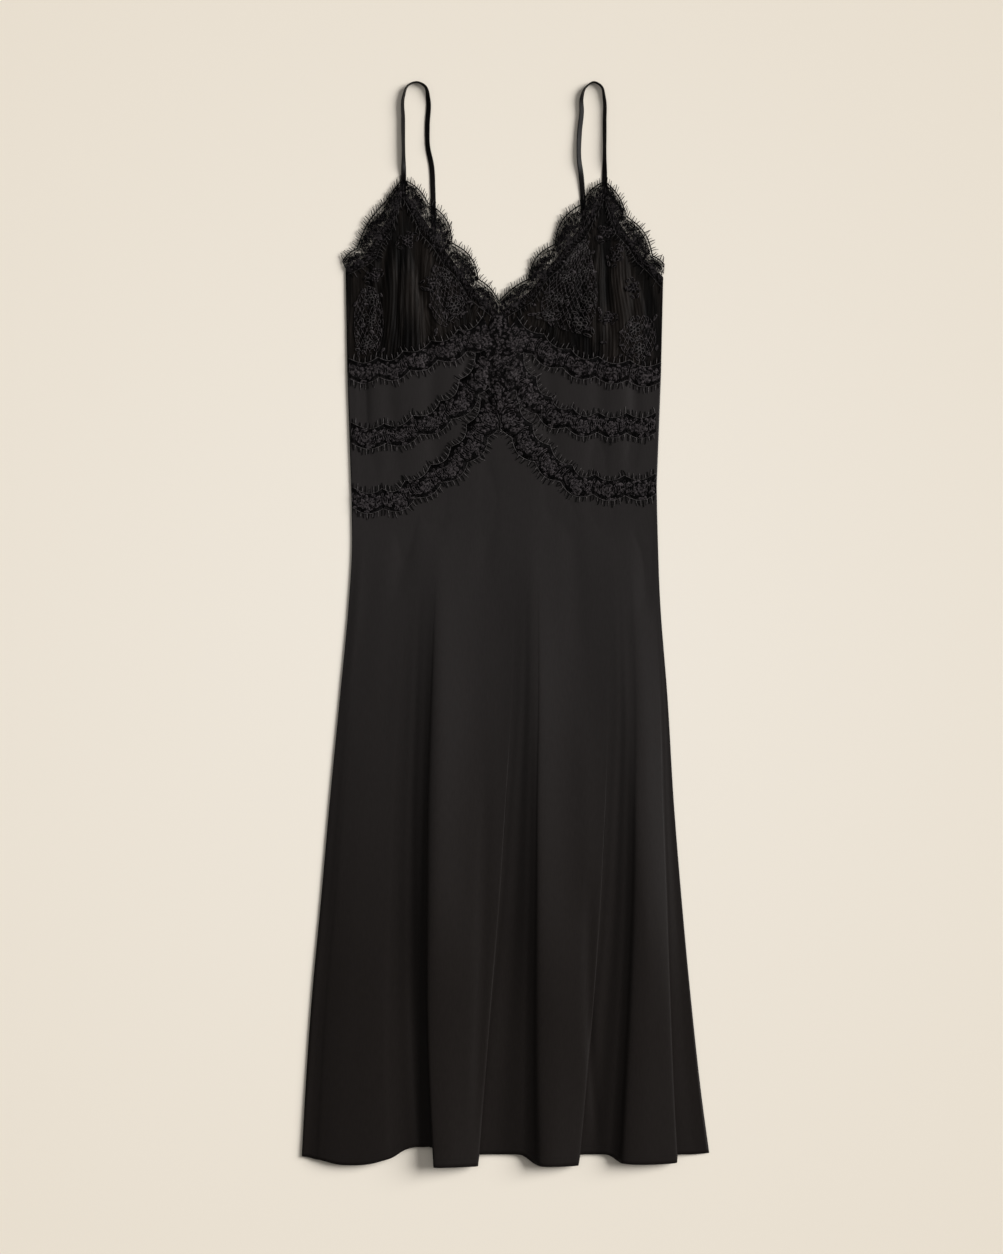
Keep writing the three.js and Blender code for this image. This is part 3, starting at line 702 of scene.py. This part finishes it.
LACE_LOW = 2.1  # height of the free scallops
LACE_LIFT = 0.75  # of lace over the cloth
INNER_WAVE = 2.6


def both(s, t):
    """Shares along and across a lace, as arrays of one shape."""
    return np.broadcast_arrays(np.asarray(s, float), np.asarray(t, float))


def on_front(x, y, lift=LACE_LIFT):
    return np.stack([x, y, front_height(x, y) + lift], -1)


class Trim:
    """A lace trim along a cup's edge."""

    def __init__(self, border, inner):
        self.border = np.array(border, float)
        self.scallops = len(border) - 1
        self.inner, _ = path_through(inner)
        chords = np.hypot(*np.diff(self.border[:, :2], axis=0).T)
        self.lengths = chords * (1 + 0.6 * (self.border[:-1, 2] / chords) ** 2)

    def edge(self, s, bulges=1.0):
        i = np.clip(np.floor(s).astype(int), 0, self.scallops - 1)
        q = np.clip(s - i, 0, 1)[..., None]
        start, end = self.border[i, :2], self.border[i + 1, :2]
        chord = end - start
        out = unit(np.stack([-chord[..., 1], chord[..., 0]], -1))
        bulge = bulges * self.border[i, 2][..., None] * np.sin(np.pi * q)
        return start + chord * q + out * bulge

    def flat(self, s, t):
        inner = self.inner(s / self.scallops)
        border = self.edge(s)
        wave = INNER_WAVE * (abs(np.sin(np.pi * s)) - 0.6)
        wave *= ramp(s, 0, 0.4) * ramp(self.scallops - s, 0, 0.4)
        inner = inner + unit(border - inner) * wave[..., None]
        return inner * (1 - t[..., None]) + border * t[..., None]

    def place(self, s, t):
        s, t = both(s, t)
        s = np.clip(s, 0, self.scallops)
        at = self.flat(s, t)
        hold = self.flat(s, np.minimum(t, HELD))
        high = front_height(hold[..., 0], hold[..., 1]) + LACE_LIFT
        free = np.clip((t - HELD) / LETS_GO, 0, 1)
        z = high * (1 - free) + LACE_LOW * free
        return np.concatenate([at, z[..., None]], -1)

    def cloth_edge(self, count):
        s = np.linspace(0, self.scallops, count)
        inner = self.inner(s / self.scallops)
        return inner + (self.edge(s, 0) - inner) * CLOTH_EDGE


trims = {name: Trim(*shape) for name, shape in TRIMS.items()}
print("trim around the neck", round(sum(trims["neck_left"].lengths)), "mm a side")

# %% [markdown]
# ## Cups
# Each cup is cut wider than its seam and gathered onto it, so many small folds fan from the strap
# to the bust seam. They are uneven: each gather gets its own depth and wanders a little.

# %% Cups
GATHERS = 16
CUP_ROWS, CUP_COLUMNS = 130, 230
CUP_THICK, MOST_SLACK = 0.3, 2.2
EDGE_POINTS = 60


def cup(name, pair, first, last, seed):
    """A cup under a pair of trims, over the bust seam from first to last."""
    edge = np.concatenate([trims[key].cloth_edge(EDGE_POINTS) for key in pair])
    top, _ = path_through(np.delete(edge, EDGE_POINTS, 0))  # the corner is there twice
    across = np.linspace(0, 1, CUP_COLUMNS)
    down = np.linspace(0, 1, CUP_ROWS)[:, None]
    low_x = seam_x(BUST_SEAM, first + (last - first) * across)
    upper = top(across)
    x = upper[:, 0] * (1 - down) + low_x * down
    y = upper[:, 1] * (1 - down) + bust_seam(low_x) * down
    wobble = np.random.default_rng(seed)
    depths = wobble.uniform(0.35, 1.0, GATHERS + 1)
    drift = smooth(np.linspace(0, 1, 9), wobble.uniform(-0.7, 0.7, 9))(across)
    phase = across * GATHERS + 0.3 * np.sin(5 * down + 9 * across) + drift
    depth = np.interp(phase, np.arange(GATHERS + 1), depths)
    wave = 0.5 - 0.5 * np.cos(2 * np.pi * phase)
    small = 0.18 * np.sin(2 * np.pi * (phase * 3.3 + 0.4 * np.sin(7 * down)))
    small += 0.10 * np.sin(2 * np.pi * (phase * 7.1 + 1.3 * np.sin(4 * down)))
    plain = front_height(x, y)
    slack = np.minimum(plain - FRONT_LOW + 0.4, MOST_SLACK)
    z = np.maximum(plain - slack * (0.42 * depth * wave - 0.5 * small), FRONT_LOW - 0.2)
    piece = shell(name + "_cloth", x, y, z, cup_cloth.material, CUP_THICK)
    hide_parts(name)
    return piece


cup_left = cup("cup_left", ("arm_left", "neck_left"), 0, 1, 3)
cup_right = cup("cup_right", ("neck_right", "arm_right"), 1, 2, 11)

# %% [markdown]
# ## One repeat of the lace
# Eyelash lace repeats once in every scallop: a round flower in the middle, leaves beside it,
# wandering cords between, a fine net behind and cords along both edges, with loose threads, the
# lashes, standing out past them. The same repeat serves every trim and band.

# %% Flowers and leaves
def turned(shapes, angle, scale=1.0):
    """Shapes turned about their middle by an angle in radians, and scaled."""
    c, s = scale * math.cos(angle), scale * math.sin(angle)
    x, y = shapes[..., 0], shapes[..., 1]
    return np.stack([c * x - s * y, s * x + c * y], -1)


def loop(cx, cy, long, wide, turn):
    """A closed loop, as for a petal or leaf, by its middle, size and turn in degrees."""
    a = np.linspace(0, 2 * np.pi, 15)
    points = np.stack([long * np.cos(a), wide * np.sin(a)], -1)
    return turned(points, math.radians(turn)) + (cx, cy)


def hatch(cx, cy, long, wide, turn):
    """Short threads across a loop."""
    u = np.linspace(-0.8, 0.8, 7)
    half = wide * np.sqrt(1 - u**2)
    ends = np.stack([np.stack([u * long, end], -1) for end in (-half, half)], 1)
    return turned(ends, math.radians(turn)) + (cx, cy)


PETAL_AT = np.array([5.2, 0])
PETALS = [(*turned(PETAL_AT, math.radians(turn)), 2.7, 2.0, turn) for turn in range(0, 360, 60)]
EYE, RING = (0, 0, 1.6, 1.6), (0, 0, 2.4, 2.4)
LEAVES = [  # middle from the flower, length, width, turn
    (-13.5, 3.5, 3.6, 1.5, 35),
    (-13.0, -4.5, 3.4, 1.4, -40),
    (13.5, 3.5, 3.6, 1.5, 145),
    (13.0, -4.5, 3.4, 1.4, 220),
    (0.0, -9.8, 2.8, 1.2, 0),
    (-6.5, 9.0, 2.4, 1.1, 30),
    (6.5, 9.0, 2.4, 1.1, -30),
]
FLOWER = np.array([loop(*part) for part in [(*EYE, 0), (*RING, 0), *PETALS]])
FLOWER_HATCHES = np.concatenate([hatch(*part) for part in [(*EYE, 20), *PETALS]])
LEAF_LOOPS = np.array([loop(*leaf) for leaf in LEAVES])
LEAF_HATCHES = np.concatenate([hatch(*leaf) for leaf in LEAVES])
print("a repeat has", len(FLOWER) + len(LEAF_LOOPS), "loops over its net")


# %% [markdown]
# A strip is worked scallop by scallop. Bands and trims differ in the net's pitch and thread, in
# where the flowers lie and how large, in the cords, and in how single leaves are strewn between.

# %% A strip of lace
# The bands' net is close-set and near black: partly the lace's own net, partly painted shade in the
# gaps between its threads.
BAND_KIND = SimpleNamespace(
    net=(1.2, 0.36), middle=0.5, size=1.0, wanders=1,
    borders=[(1.0, 0.36, CORD), (0.0, 0.36, CORD)],  # share across, radius, tone
    leaves=(0.02, 0.98), pitch=3.4, leaf_tone=FILL, leaf_size=(0.75, 1.15),
)
TRIM_KIND = SimpleNamespace(
    net=(4.6, 0.3), middle=0.34, size=0.85, wanders=2,
    borders=[(1.0, 0.8, NET), (0.88, 0.5, NET), (0.0, 0.3, CORD)],
    leaves=(0.48, 0.9), pitch=2.1, leaf_tone=NET, leaf_size=(0.85, 1.4),
)
THICK, FINE = 0.36, 0.34  # thread radii


def lace_strip(threads, place, lengths, width, kind):
    """One strip of lace, scallop by scallop."""
    for i, length in enumerate(lengths):
        motifs(threads, place, i, (length, width), kind)
        scattered_leaves(threads, place, (i + 0.04, i + 0.96, *kind.leaves), kind.pitch,
                         (length, width), kind.leaf_size, kind.leaf_tone)
        cords(threads, place, i, length, kind)
        ground(threads, place, i, length, width, kind.net)
        for side in (1, 0):
            eyelashes(threads, place, i, length, side)


def lay(threads, place, middle, size, shapes, lift, radius, tone=FILL):
    """Shapes in mm laid at a middle s, t of a lace; size is the mm of one s and one t."""
    at = place(middle[0] + shapes[..., 0] / size[0], middle[1] + shapes[..., 1] / size[1])
    at[..., 2] += lift
    threads.add(at, radius, tone)


def motifs(threads, place, i, size, kind):
    tilt = math.radians(rng.uniform(-25, 25))
    room = kind.size * min(1.0, size[0] / 30)
    for shapes, angle, lift, radius in (
        (FLOWER, tilt, 0.45, 0.4), (FLOWER_HATCHES, tilt, 0.35, THICK),
        (LEAF_LOOPS, 0, 0.4, 0.38), (LEAF_HATCHES, 0, 0.35, FINE),
    ):
        lay(threads, place, (i + 0.5, kind.middle), size, turned(shapes, angle, room), lift, radius)


def scattered_leaves(threads, place, span, pitch, size, scales=(0.75, 1.15), tone=FILL):
    """Single solid leaves laid anyhow in a strip: span is s from, s to, t from, t to."""
    s0, s1, t0, t1 = span
    count = max(1, round((s1 - s0) * size[0] / pitch))
    for k in range(count):
        scale = rng.uniform(*scales)
        leaf = (0, 0, 3.3 * scale, 1.5 * scale, rng.uniform(0, 180))
        s = s0 + (s1 - s0) * (k + 0.5 + rng.uniform(-0.3, 0.3)) / count
        t = t0 + (t1 - t0) * ((0.25, 0.75, 0.5)[k % 3] + rng.uniform(-0.2, 0.2))
        for shapes in (loop(*leaf)[None], hatch(*leaf)):
            lay(threads, place, (s, t), size, shapes, 0.3, THICK, tone)


def strew_flowers(threads, place, middles, size, tones=(FILL, FILL)):
    """Whole flowers with their leaves, each turned its own way."""
    for middle in middles:
        angle, scale = rng.uniform(0, 2 * np.pi), rng.uniform(0.7, 0.95)
        for shapes, radius, tone in (
            (FLOWER, THICK, tones[0]), (FLOWER_HATCHES, FINE, tones[1]),
            (LEAF_LOOPS, FINE, tones[0]), (LEAF_HATCHES, FINE, tones[1]),
        ):
            lay(threads, place, middle, size, turned(shapes, angle, scale), 0.4, radius, tone)


# %% [markdown]
# Cords run along both edges with short rungs beside them, thicker cords wander between, and the net
# fills what is left. The lashes are the cut ends of the net's threads.

# %% Cords, net and lashes
WANDERS = [(0.8, 0.11, 0.0), (0.2, 0.11, 1.2), (0.5, 0.3, 2.1)]  # middle, swing, phase


def cords(threads, place, i, length, kind):
    s = i + np.linspace(0, 1, 21)
    for t, radius, tone in kind.borders:
        path = place(s, np.full_like(s, t))
        path[..., 2] += 0.35
        threads.add(path[None], radius, tone)
    turns = max(3, round(length / 5))
    u = np.linspace(0, 1, 8 * turns + 1)
    for middle, swing, phase in WANDERS[-kind.wanders:]:
        along = u + 0.035 * np.sin(4 * np.pi * turns * u + phase)
        across = middle + swing * np.sin(2 * np.pi * turns * u + phase)
        path = place(i + along, across)
        path[..., 2] += 0.3
        threads.add(path[None], 0.4)
    u = np.linspace(0, 1, 2 * max(6, round(length / 2.2)) + 1)
    rungs = np.where(np.arange(len(u)) % 2, 0.905, 0.99)
    threads.add(place(i + u, rungs)[None], 0.2, NET)
    threads.add(place(i + u, 1 - rungs)[None], 0.24)


def ground(threads, place, i, length, width, net):
    """A fine net of two slanting sets of threads."""
    pitch, radius = net
    count = max(6, round(length / pitch))
    run = width / length
    t = np.linspace(0.02, 0.98, 6)
    for slope in (1, -1):
        s = (np.arange(count)[:, None] + 0.5) / count + slope * run * (t - 0.5) * 0.8
        inside = place(np.clip(i + s, i, i + 1), np.broadcast_to(t, s.shape))
        threads.add(inside, radius, NET)


LASH_PITCH = 3.4
LASH_LENGTHS = (5.0, 8.6)
LASH_SHARES = np.array([0, 0.35, 0.7, 1.0])
LASH_TONES = [(NET, [0.6, 0.56, 0.5, 0.36]), (CORD, [0.42, 0.4, 0.36, 0.26])]  # tone, radii


def eyelashes(threads, place, i, length, side):
    """Loose threads past an edge, by turns black and thick or pale and thin; the black ones are
    partly painted shade, for the shadows the lashes cast.
    """
    count = max(4, round(length / LASH_PITCH))
    s = i + (np.arange(count) + 0.5 + rng.uniform(-0.25, 0.25, count)) / count
    inward = 0.95 if side else 0.05
    root = place(s, np.full_like(s, float(side)))
    out = root - place(s, np.full_like(s, inward))
    out = unit(out * (1, 1, 0))
    beside = np.stack([-out[:, 1], out[:, 0], 0 * s], -1)
    size = rng.uniform(*LASH_LENGTHS, count)[:, None]
    bend = rng.normal(0, 1.1, count)[:, None]
    paths = np.stack([
        root + out * size * share + beside * bend * share**2 + [0, 0, 0.3 - 0.3 * share]
        for share in LASH_SHARES
    ], 1)
    for turn, (tone, radii) in enumerate(LASH_TONES):
        threads.add(paths[turn::2], np.array(radii), tone)


# %% [markdown]
# ## Trims on the cups
# Each cup has a trim on its neck edge and on its arm edge. Half of its width lies on the cup and
# the scallops hang free over the table.

# %% Neck and arm trims
for name, trim in trims.items():
    threads = Threads()
    width = float(np.mean(np.linalg.norm(trim.edge(np.linspace(0.1, trim.scallops - 0.1, 9))
                                         - trim.inner(np.linspace(0.05, 0.95, 9)), axis=1)))
    lace_strip(threads, trim.place, trim.lengths, width, TRIM_KIND)
    threads.piece("lace_" + name, DARKENED_TRIM_TONES, "lace")
    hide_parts("trim_" + name, "lashes_" + name)

# %% [markdown]
# ## Lace bands
# Bands of the same lace cover the bust seam and the hip seam, with one more between them. All
# hang down at the sides and rise to the centre front. Their lashes lie on the cloth beside them.

# %% Bands
BANDS = {
    "bust_left": [(-184.5, 298), *BUST_SEAM[1:4], (-19, 346)],
    "bust_right": [(4, 346), (18, 338), (46, 322), *BUST_SEAM[6:8], (182, 293)],
    "waist_left": [(-182, 222), (-137, 222), (-96, 235), (-60, 256), (-38, 281), (-20, 311)],
    "waist_right": [(5, 311), (23, 279), (46, 253), (81, 238), (129, 234), (176.5, 234)],
    "hip_left": [(-181, 146), (-134, 146), (-96, 165), (-60, 190), (-35, 220), (-14, 258)],
    "hip_right": [(-1, 258), (21, 220), (52, 189), (87, 165), (129, 160), (177, 162)],
}
PITCH = 37.0
HALF = 12.0
SPREAD, SPREAD_REACH = 3.5, 90  # how much wider a band gets towards the centre, from where
BULGE = 6.5
SEAM = 0.3
CENTRE_LACE = smooth([246, 262, 290, 312, 336, 350, 362], [1, 5, 8, 9, 9, 7, 3])


def band_place(line):
    """The mapping of a band, whose end stops where the centre lace begins."""
    curve, length = path_through(line)
    scallops = round(length / PITCH)
    side = -1 if line[1][0] < CENTRE_X else 1

    def place(s, t):
        s, t = both(s, t)
        s = np.clip(s, 0, scallops)
        share = s / scallops
        at = curve(share)
        near = np.clip([share - 0.002, share + 0.002], 0, 1)
        ahead = unit(curve(near[1]) - curve(near[0]))
        up = np.stack([-ahead[..., 1], ahead[..., 0]], -1)
        hang = BULGE * (abs(np.sin(np.pi * s)) - 0.5)
        half = HALF + SPREAD * ramp(1 - abs(at[..., 0] - CENTRE_X) / SPREAD_REACH, 0, 1)
        at = at + up * ((2 * t - 1) * half - hang)[..., None]
        clear = SEAM + CENTRE_LACE(at[..., 1])
        x = CENTRE_X + side * np.maximum(side * (at[..., 0] - CENTRE_X), clear)
        return on_front(x, at[..., 1])

    return place, [length / scallops] * scallops


for name, line in BANDS.items():
    place, lengths = band_place(line)
    threads = Threads()
    lace_strip(threads, place, lengths, 2 * HALF, BAND_KIND)
    threads.piece("lace_" + name, LACE_TONES, "lace")
    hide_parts("band_" + name)

# %% [markdown]
# ## Centre front
# Where the bands meet, a narrow upright piece of the same lace covers their ends.

# %% Centre lace
CENTRE_TOP, CENTRE_LOW = 366, 246
CENTRE_SIZE = (CENTRE_TOP - CENTRE_LOW, 44)
CENTRE_WIDE = smooth([246, 262, 280, 300, 318, 336, 350, 366], [3, 12, 20, 25, 25, 22, 14, 6])


def centre_place(s, t):
    s, t = both(s, t)
    y = CENTRE_TOP + (CENTRE_LOW - CENTRE_TOP) * s
    return on_front(CENTRE_X + (2 * t - 1) * CENTRE_WIDE(y), y, LACE_LIFT + 0.4)


threads = Threads()
# The bands' close, near-black net: partly painted shade between the threads.
ground(threads, centre_place, 0, *CENTRE_SIZE, BAND_KIND.net)
CENTRE_FLOWERS = [(0.1, 0.5), (0.28, 0.2), (0.3, 0.8), (0.47, 0.5), (0.58, 0.12), (0.62, 0.86),
                  (0.74, 0.45), (0.88, 0.6)]
strew_flowers(threads, centre_place, CENTRE_FLOWERS, CENTRE_SIZE)
for low in (0, 0.33, 0.66):
    scattered_leaves(threads, centre_place, (0.02, 0.98, low, low + 0.33), 4, CENTRE_SIZE)
threads.piece("lace_centre_front", LACE_TONES, "lace")
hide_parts("lace_centre")

# %% [markdown]
# ## Patches
# Patches of net with flowers, cut from the same lace, are laid on the cups, and a few single
# flowers lie beside them.

# %% Patches
PATCHES = {  # corners clockwise from the upper left
    "left_inner": [(-92, 428), (-68, 420), (-34, 368), (-86, 338)],
    "left_outer": [(-179, 396), (-148, 402), (-141, 322), (-179, 310)],
    "right_inner": [(76, 440), (102, 462), (112, 330), (24, 356)],
    "right_outer": [(134, 356), (176, 370), (178, 312), (134, 312)],
}


def patch_place(corners):
    """The mapping of a patch between four corners, and its size."""
    corners = np.array(corners, float)
    up_left, up_right, low_right, low_left = corners

    def place(s, t):
        s, t = both(s, t)
        u, v = s[..., None], 1 - t[..., None]
        upper = up_left * (1 - u) + up_right * u
        lower = low_left * (1 - u) + low_right * u
        at = upper * (1 - v) + lower * v
        return on_front(at[..., 0], at[..., 1])

    top, right, low, left = np.linalg.norm(np.roll(corners, -1, 0) - corners, axis=1)
    return place, ((top + low) / 2, (left + right) / 2)


SPRIGS = {  # middles of single flowers outside the patches
    "left_inner": [(-116, 452), (-86, 400)],
    "left_outer": [(-156, 410)],
    "right_inner": [(118, 462), (129, 434), (121, 360)],
    "right_outer": [(150, 396)],
}
SPRIG_SIZE = 26.0
SQUARE = [(-1, 1), (1, 1), (1, -1), (-1, -1)]
SPRAY_PITCH = 31.0
MESH_PITCH, MESH_RADIUS = 4.8, 0.28


def sprays(threads, place, size):
    """Flowers and leaves strewn over a patch, out past its edges too, on a slanting mesh."""
    wide, tall = size
    across, down = [max(1, round(length / SPRAY_PITCH)) for length in size]
    middles = [
        ((k % across + 0.5 + rng.uniform(-0.15, 0.15)) / across,
         (k // across + 0.5 + rng.uniform(-0.15, 0.15)) / down)
        for k in range(across * down)
    ]
    strew_flowers(threads, place, middles, size, (CORD, NET))
    for row in range(down + 1):
        low = row / (down + 1)
        scattered_leaves(threads, place, (-0.08, 1.08, low, low + 0.25), 10, size)
    t = np.linspace(0.03, 0.97, 16)
    half = 0.5 * np.sqrt(1 - (2 * t - 1) ** 2)
    lines = max(4, round(1.6 * wide / MESH_PITCH))
    for slope in (1, -1):
        s = np.linspace(-0.8, 0.8, lines)[:, None] + slope * 0.5 * tall / wide * (t - 0.5)
        threads.add(place(0.5 + np.clip(s, -half, half), np.broadcast_to(t, s.shape)), MESH_RADIUS)


for name, corners in PATCHES.items():
    threads = Threads()
    sprays(threads, *patch_place(corners))
    for x, y in SPRIGS[name]:
        around = [(x + a * SPRIG_SIZE / 2, y + b * SPRIG_SIZE / 2) for a, b in SQUARE]
        place, size = patch_place(around)
        strew_flowers(threads, place, [(0.5, 0.5)], size, (FILL, NET))
        scattered_leaves(threads, place, (0.1, 0.9, 0.2, 0.8), 12, size)
    piece = threads.piece("lace_patch_" + name, LACE_TONES, "lace")
    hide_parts("patch_" + name)
    "patch_" + name

# %% [markdown]
# ## Straps
# Two narrow ribbons run from the points of the cups to the top of the back. Each lies on the table
# and turns up on its edge around the loop, then twists down again behind the neckline.

# %% Straps
STRAPS = {  # middle line x, y and turn from lying flat in degrees
    "strap_left": [
        (-120.5, 505, 0), (-120.5, 522, 0), (-120.5, 548, 48), (-121, 595, 50),
        (-120.5, 622, 66), (-115, 635, 82), (-105, 638.7, 84), (-95.5, 634, 70),
        (-91.5, 618, 35), (-92.5, 588, 25), (-92, 563, 30), (-87.5, 540, 12),
        (-86, 512, 0), (-85, 470, 0), (-82.5, 393.5, 0),
    ],
    "strap_right": [
        (91.5, 392, 0), (92, 470, 0), (91, 500, 0), (89, 528, 14), (86.5, 548, 34),
        (87, 580, 28), (89.5, 605, 34), (89.5, 620, 50), (94, 632, 78), (104, 638.7, 84),
        (112.5, 634, 78), (116, 620, 60), (116.5, 590, 50), (116.5, 545, 46),
        (116.5, 520, 0), (116.5, 503, 0),
    ],
}
RIBBON, RIBBON_THICK = 6.0, 0.8
for name, line in STRAPS.items():
    curve, length = path_through(line)
    along = np.linspace(0, 1, 260)
    middle = curve(along)
    ahead = unit(np.gradient(middle[:, :2], axis=0))
    turn = np.radians(middle[:, 2])
    side = np.linspace(1, -1, 7)[:, None] * RIBBON / 2
    low = RIBBON / 2 * abs(np.sin(turn)) + 0.5 * abs(np.cos(turn))
    x = middle[:, 0] - ahead[:, 1] * side * np.cos(turn)
    y = middle[:, 1] + ahead[:, 0] * side * np.cos(turn)
    z = low + side * np.sin(turn)
    piece = shell(name + "_ribbon", x, y, z, ribbon.material, RIBBON_THICK)
    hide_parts(name)
    print(name, "is", round(length), "mm long")

# %% [markdown]

# %% [markdown]
# ## Table, light and camera
# The table is a plain warm white, painted paler in the middle and darker towards the corners, as a
# painted pool of light. A large soft light stands low on the right, so folds are dark on their
# left and shadows fall to the left. A weak light from above and a pale room all round keep them
# from going black.

# %% Table
paper = Look("paper", Roughness=0.9, Specular_IOR_Level=0.05)
# A painted pool of light: the paper's colour is paler in the middle.
painted_light_pool = paper.node("TexGradient", {"gradient_type": "SPHERICAL"}, {"Vector": paper.place()}, "Fac")
paper.set(Base_Color=paper.blend((0.775, 0.705, 0.600, 1), (0.83, 0.775, 0.690, 1), painted_light_pool))
paper.bump(paper.noise(300), 0.0001, 0.1)
bpy.ops.mesh.primitive_plane_add(size=8)
table = bpy.context.object
table.name = "table"
table.data.materials.append(paper.material)
table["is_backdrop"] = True

# %% Lights
world = bpy.data.worlds.new("room")
bpy.context.scene.world = world
world.use_nodes = True
room = world.node_tree.nodes["Background"]
room.inputs["Color"].default_value = (1.0, 0.985, 0.96, 1)
room.inputs["Strength"].default_value = 0.18

LIGHTS = [  # name, direction it comes from, strength, spread in degrees
    ("window", (1.0, 0.35, 0.56), 5.2, 34),
    ("fill", (-0.3, 0.6, 1.3), 0.3, 60),
]
for name, place, power, spread in LIGHTS:
    lamp = bpy.data.lights.new(name, "SUN")
    lamp.angle = math.radians(spread)
    lamp.energy = power
    light = bpy.data.objects.new(name, lamp)
    light.location = place
    light.rotation_mode = "QUATERNION"
    light.rotation_quaternion = light.location.to_track_quat("Z", "Y")
    bpy.context.scene.collection.objects.link(light)
    light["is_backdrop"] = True
print("light from", " and ".join(row[0] for row in LIGHTS))

# %% Camera
camera_data = bpy.data.cameras.new("camera")
camera_data.lens = 100
camera_data.sensor_width = 36
camera = bpy.data.objects.new("camera", camera_data)
camera.location = (-0.00507, -0.0038, 4.11)
bpy.context.scene.collection.objects.link(camera)
bpy.context.scene.camera = camera
bpy.context.scene.view_settings.view_transform = "Standard"

# %% [markdown]
# ## Finish
# The size of the dressed dress is printed.

# %% Sizes
low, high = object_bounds()
print("dress spans", [round(c, 4) for c in low], [round(c, 4) for c in high])
